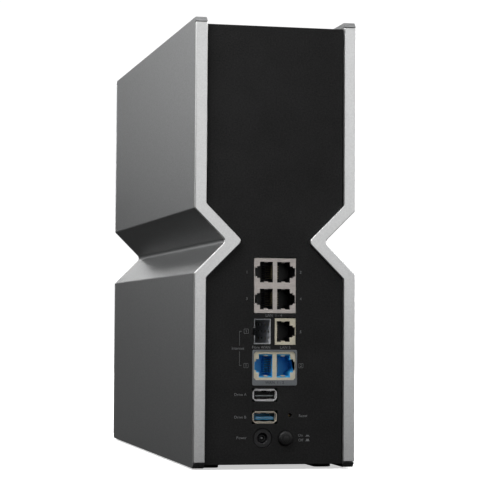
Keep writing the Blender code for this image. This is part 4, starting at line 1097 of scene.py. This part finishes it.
@dataclass
class PortMarks:
    """The grey surround of the blue sockets and the small printed marks beside the ports."""

    depth: float = 0.00004
    height: float = 0.0016
    line: float = 0.00016
    surround_side: float = 0.00085
    surround_top: float = 0.0010
    surround_foot: float = 0.0031
    surround_corner: float = 0.0013
    surround_overlap: float = 0.0001
    surround_height: float = 0.0003
    mark_lift: float = 0.00001
    box_side: float = 0.0027

    def build(self) -> None:
        """Builds the surround and the marks."""
        low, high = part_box("wan_jack_shield")
        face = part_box("rear_panel")[1].y
        middle_x = (low.x + high.x) / 2
        z_low, z_high = low.z - self.surround_foot, high.z + self.surround_top
        wide, tall = high.x - low.x, high.z - low.z
        width = wide + 2 * self.surround_side
        outline = rectangle(middle_x, (z_low + z_high) / 2, width, z_high - z_low, 0.0009)
        window = wide - self.surround_overlap, tall - self.surround_overlap
        hole = clipped(middle_x, (low.z + high.z) / 2, *window, self.surround_corner)
        plate = Solid().prism([outline, hole], Axis.Y, face + 0.00002, face + self.surround_height, 0.0001, 2)
        plate.finish("blue_socket_surround", SURROUND_GREY, slot="black_plastic")
        marks = Solid()
        for words, x, z in (
            ("1", 0.0165, 0.1143), ("3", 0.0165, 0.0989), ("2", -0.0156, 0.1146), ("4", -0.0157, 0.0990),
            ("5", -0.0158, 0.0798), ("LAN  1 - 4", 0.0004, 0.0893), ("Fibre WAN", 0.0078, 0.0707),
            ("LAN 5", -0.0066, 0.0707), ("1", 0.01675, 0.0801), ("1", 0.01675, 0.0602),
            ("2", -0.0161, 0.0602), ("Internet", 0.0216, 0.0701), ("Drive A", 0.0200, 0.0434),
            ("Drive B", 0.0200, 0.0303), ("Reset", -0.0175, 0.0310), ("Power", 0.0192, 0.0184),
            ("On", -0.0160, 0.01965), ("Off", -0.0162, 0.0169),
        ):
            marks.text(words, x, z, self.height, face + self.mark_lift, self.depth)
        self.add_boxes(marks, face)
        self.add_bracket(marks, face)
        self.add_push_signs(marks, face)
        marks.finish("port_marks", GREY_INK)
        name_face = face + self.surround_height + self.mark_lift
        label = Solid().text("WAN  1 - 2", -0.0003, 0.0503, self.height, name_face, self.depth)
        label.finish("surround_mark", DARK_INK)

    def add_boxes(self, marks: Solid, face: float) -> None:
        """Adds the squares round the numbers of the shared ports."""
        for x, z in ((0.01675, 0.0801), (0.01675, 0.0602), (-0.0161, 0.0602)):
            side, hollow = self.box_side, self.box_side - 2 * self.line
            ring = [rectangle(x, z, side, side, 0.0003), rectangle(x, z, hollow, hollow, 0.0002)]
            marks.prism(ring, Axis.Y, face + self.mark_lift, face + self.depth)

    def add_bracket(self, marks: Solid, face: float) -> None:
        """Adds the line that joins the two shared ports on the left."""
        x, low, high, arm = 0.0207, 0.0602, 0.0800, 0.0012
        for corner, other in (
            ((x - self.line / 2, low), (x + self.line / 2, 0.0684)),
            ((x - self.line / 2, 0.0718), (x + self.line / 2, high)),
            ((x - arm, low - self.line / 2), (x + self.line / 2, low + self.line / 2)),
            ((x - arm, high - self.line / 2), (x + self.line / 2, high + self.line / 2)),
        ):
            start = (corner[0], face + self.mark_lift, corner[1])
            marks.box(start, (other[0], face + self.depth, other[1]))

    def add_push_signs(self, marks: Solid, face: float) -> None:
        """Adds the two signs for a button that is in and one that is out."""
        for z, rise in ((0.01965, 0.0006), (0.0169, 0.0011)):
            x, near, far = -0.0203, face + self.mark_lift, face + self.depth
            marks.box((x - 0.0014, near, z - 0.0006), (x + 0.0014, far, z - 0.0004))
            marks.box((x - 0.0008, near, z - 0.0004), (x + 0.0008, far, z - 0.0004 + rise))


@dataclass
class RearPorts:
    """Everything on the port side."""

    def build(self) -> None:
        """Builds each port in order."""
        four = tuple(f"socket_{number}" for number in range(1, 5))
        pair = ("blue_socket_1", "blue_socket_2")
        NetworkJack("lan_jack", four, LAN_SHEET, SOCKET_BLACK, "socket_black").build()
        NetworkJack("single_jack", ("socket_5",), WARM_SHEET, SOCKET_BLACK, "socket_black").build()
        NetworkJack("wan_jack", pair, WARM_SHEET, SOCKET_BLUE, "socket_blue").build()
        FibreCage().build()
        UsbSocket("usb2", STEEL_SHEET, SOCKET_BLACK, "socket_black", 4).build()
        UsbSocket("usb3", CHAMPAGNE_SHEET, TONGUE_BLUE, "socket_blue", 5).build()
        PowerInlet().build()
        PowerButton().build()
        PortMarks().build()


# ---------------------------------------------------------------- studio


@dataclass(frozen=True)
class Lamp:
    """A soft rectangular light that the camera doesn't see.

    Attributes:
        name: The light's name.
        place: Where it stands.
        target: The point that it faces.
        size: Its width and height.
        power: Its power in watts.
    """

    name: str
    place: tuple[float, float, float]
    target: tuple[float, float, float]
    size: Point2
    power: float

    def build(self) -> None:
        """Makes the light."""
        data = bpy.data.lights.new(self.name, "AREA")
        data.shape = "RECTANGLE"
        data.size, data.size_y = self.size
        data.energy = self.power
        light = bpy.data.objects.new(self.name, data)
        light.location = self.place
        facing = Vector(self.target) - Vector(self.place)
        light.rotation_euler = facing.to_track_quat("-Z", "Y").to_euler()
        light.visible_camera = False
        bpy.context.scene.collection.objects.link(light)


LAMPS = (
    Lamp("grazing_box", (1.2, -1.3, 0.7), (0.05, 0, 0.2), (0.6, 0.8), 11.5),
    Lamp("near_box", (0.4, 0.35, 0.55), (0.04, 0.1, 0.2), (0.4, 0.4), 2.9),
    Lamp("rear_box", (-0.7, 0.8, 0.5), (0, 0.15, 0.2), (0.4, 0.4), 0.6),
    Lamp("rear_wall", (-0.38, 1.7, 0.46), (-0.38, 0.15, 0.46), (1.4, 0.88), 4.4),
    Lamp("far_side_box", (-1.9, -0.3, 0.8), (0, 0, 0.12), (1.6, 1.4), 45),
    Lamp("front_box", (-0.5, -1.8, 0.7), (0, -0.15, 0.12), (1.4, 0.8), 14),
)


@dataclass
class Studio:
    """A plain pale floor, soft light and the camera."""

    camera_place: tuple[float, float, float] = (0.2565, 1.2072, 0.0829)
    camera_yaw: float = 0.22445
    camera_pitch: float = 0.040823
    camera_roll: float = 0.006339
    camera_lens: float = 134.65
    floor_size: float = 60.0
    floor_return: Colour = (0.03, 0.03, 0.03)
    floor_glow: float = 0.55
    sky_power: float = 1.6
    sky_angle: float = math.radians(50)

    def build(self) -> None:
        """Builds the floor, the surroundings, the lights and the camera."""
        self.add_floor()
        self.add_surroundings()
        for lamp in LAMPS:
            lamp.build()
        self.add_sun()
        self.add_camera()
        bpy.context.scene.view_settings.view_transform = "Standard"
        LOG.info("studio ready")

    def add_floor(self) -> None:
        """Adds the floor, which shows white with soft shadows and throws little light back."""
        ground = bmesh.new()
        bmesh.ops.create_grid(ground, x_segments=1, y_segments=1, size=self.floor_size / 2)
        mesh = bpy.data.meshes.new("floor")
        ground.to_mesh(mesh)
        ground.free()
        floor = bpy.data.objects.new("floor", mesh)
        bpy.context.scene.collection.objects.link(floor)
        recipe = Recipe("pale_floor")
        recipe.set(Roughness=0.9, Emission_Color=(1, 1, 1, 1), **{"Specular_IOR_Level": 0.0})
        seen = recipe.add("ShaderNodeLightPath").outputs["Is Camera Ray"]
        recipe.link(recipe.blend(seen, self.floor_return, (0.95, 0.95, 0.95)), "Base Color")
        recipe.link(recipe.sum("MULTIPLY", seen, self.floor_glow), "Emission Strength")
        mesh.materials.append(recipe.made)

    def add_sun(self) -> None:
        """Adds the soft light from straight above that casts the shadow on the floor."""
        data = bpy.data.lights.new("sky_light", "SUN")
        data.energy = self.sky_power
        data.angle = self.sky_angle
        light = bpy.data.objects.new("sky_light", data)
        light.location = (0, 0, 2)
        light.rotation_euler = (-Vector((0, 0.02, 1.0))).to_track_quat("-Z", "Y").to_euler()
        bpy.context.scene.collection.objects.link(light)

    def add_surroundings(self) -> None:
        """Adds surroundings that show white and light the object more from above."""
        world = bpy.data.worlds.new("surroundings")
        bpy.context.scene.world = world
        world.use_nodes = True
        tree = world.node_tree
        ground = tree.nodes["Background"]
        coords = tree.nodes.new("ShaderNodeTexCoord")
        split = tree.nodes.new("ShaderNodeSeparateXYZ")
        tree.links.new(coords.outputs["Generated"], split.inputs[0])
        rise = tree.nodes.new("ShaderNodeMapRange")
        rise.interpolation_type = "SMOOTHSTEP"
        for name, value in (("From Min", -0.1), ("From Max", 0.6), ("To Min", 0.005), ("To Max", 0.05)):
            rise.inputs[name].default_value = value
        tree.links.new(split.outputs[2], rise.inputs["Value"])
        seen = tree.nodes.new("ShaderNodeLightPath")
        mix = tree.nodes.new("ShaderNodeMix")
        tree.links.new(seen.outputs["Is Camera Ray"], mix.inputs["Factor"])
        tree.links.new(rise.outputs[0], mix.inputs["A"])
        mix.inputs["B"].default_value = 1.05
        tree.links.new(mix.outputs["Result"], ground.inputs["Strength"])
        ground.inputs["Color"].default_value = (1, 1, 1, 1)

    def add_camera(self) -> None:
        """Adds the camera."""
        data = bpy.data.cameras.new("camera")
        data.sensor_width = 36
        data.lens = self.camera_lens
        data.clip_start, data.clip_end = 0.01, 50
        camera = bpy.data.objects.new("camera", data)
        turn = (Matrix.Rotation(math.pi - self.camera_yaw, 4, "Z")
                @ Matrix.Rotation(math.pi / 2 + self.camera_pitch, 4, "X")
                @ Matrix.Rotation(self.camera_roll, 4, "Z"))
        camera.matrix_world = Matrix.Translation(self.camera_place) @ turn
        bpy.context.scene.collection.objects.link(camera)
        bpy.context.scene.camera = camera


def main() -> None:
    """Builds every sub-assembly and the studio."""
    logging.basicConfig(level=logging.INFO, format="%(name)s: %(message)s")
    for assembly in (Shell(), Display(), Inside(), RearPorts(), Studio()):
        LOG.info("building %s", type(assembly).__name__)
        assembly.build()


if __name__ == "__main__":
    main()
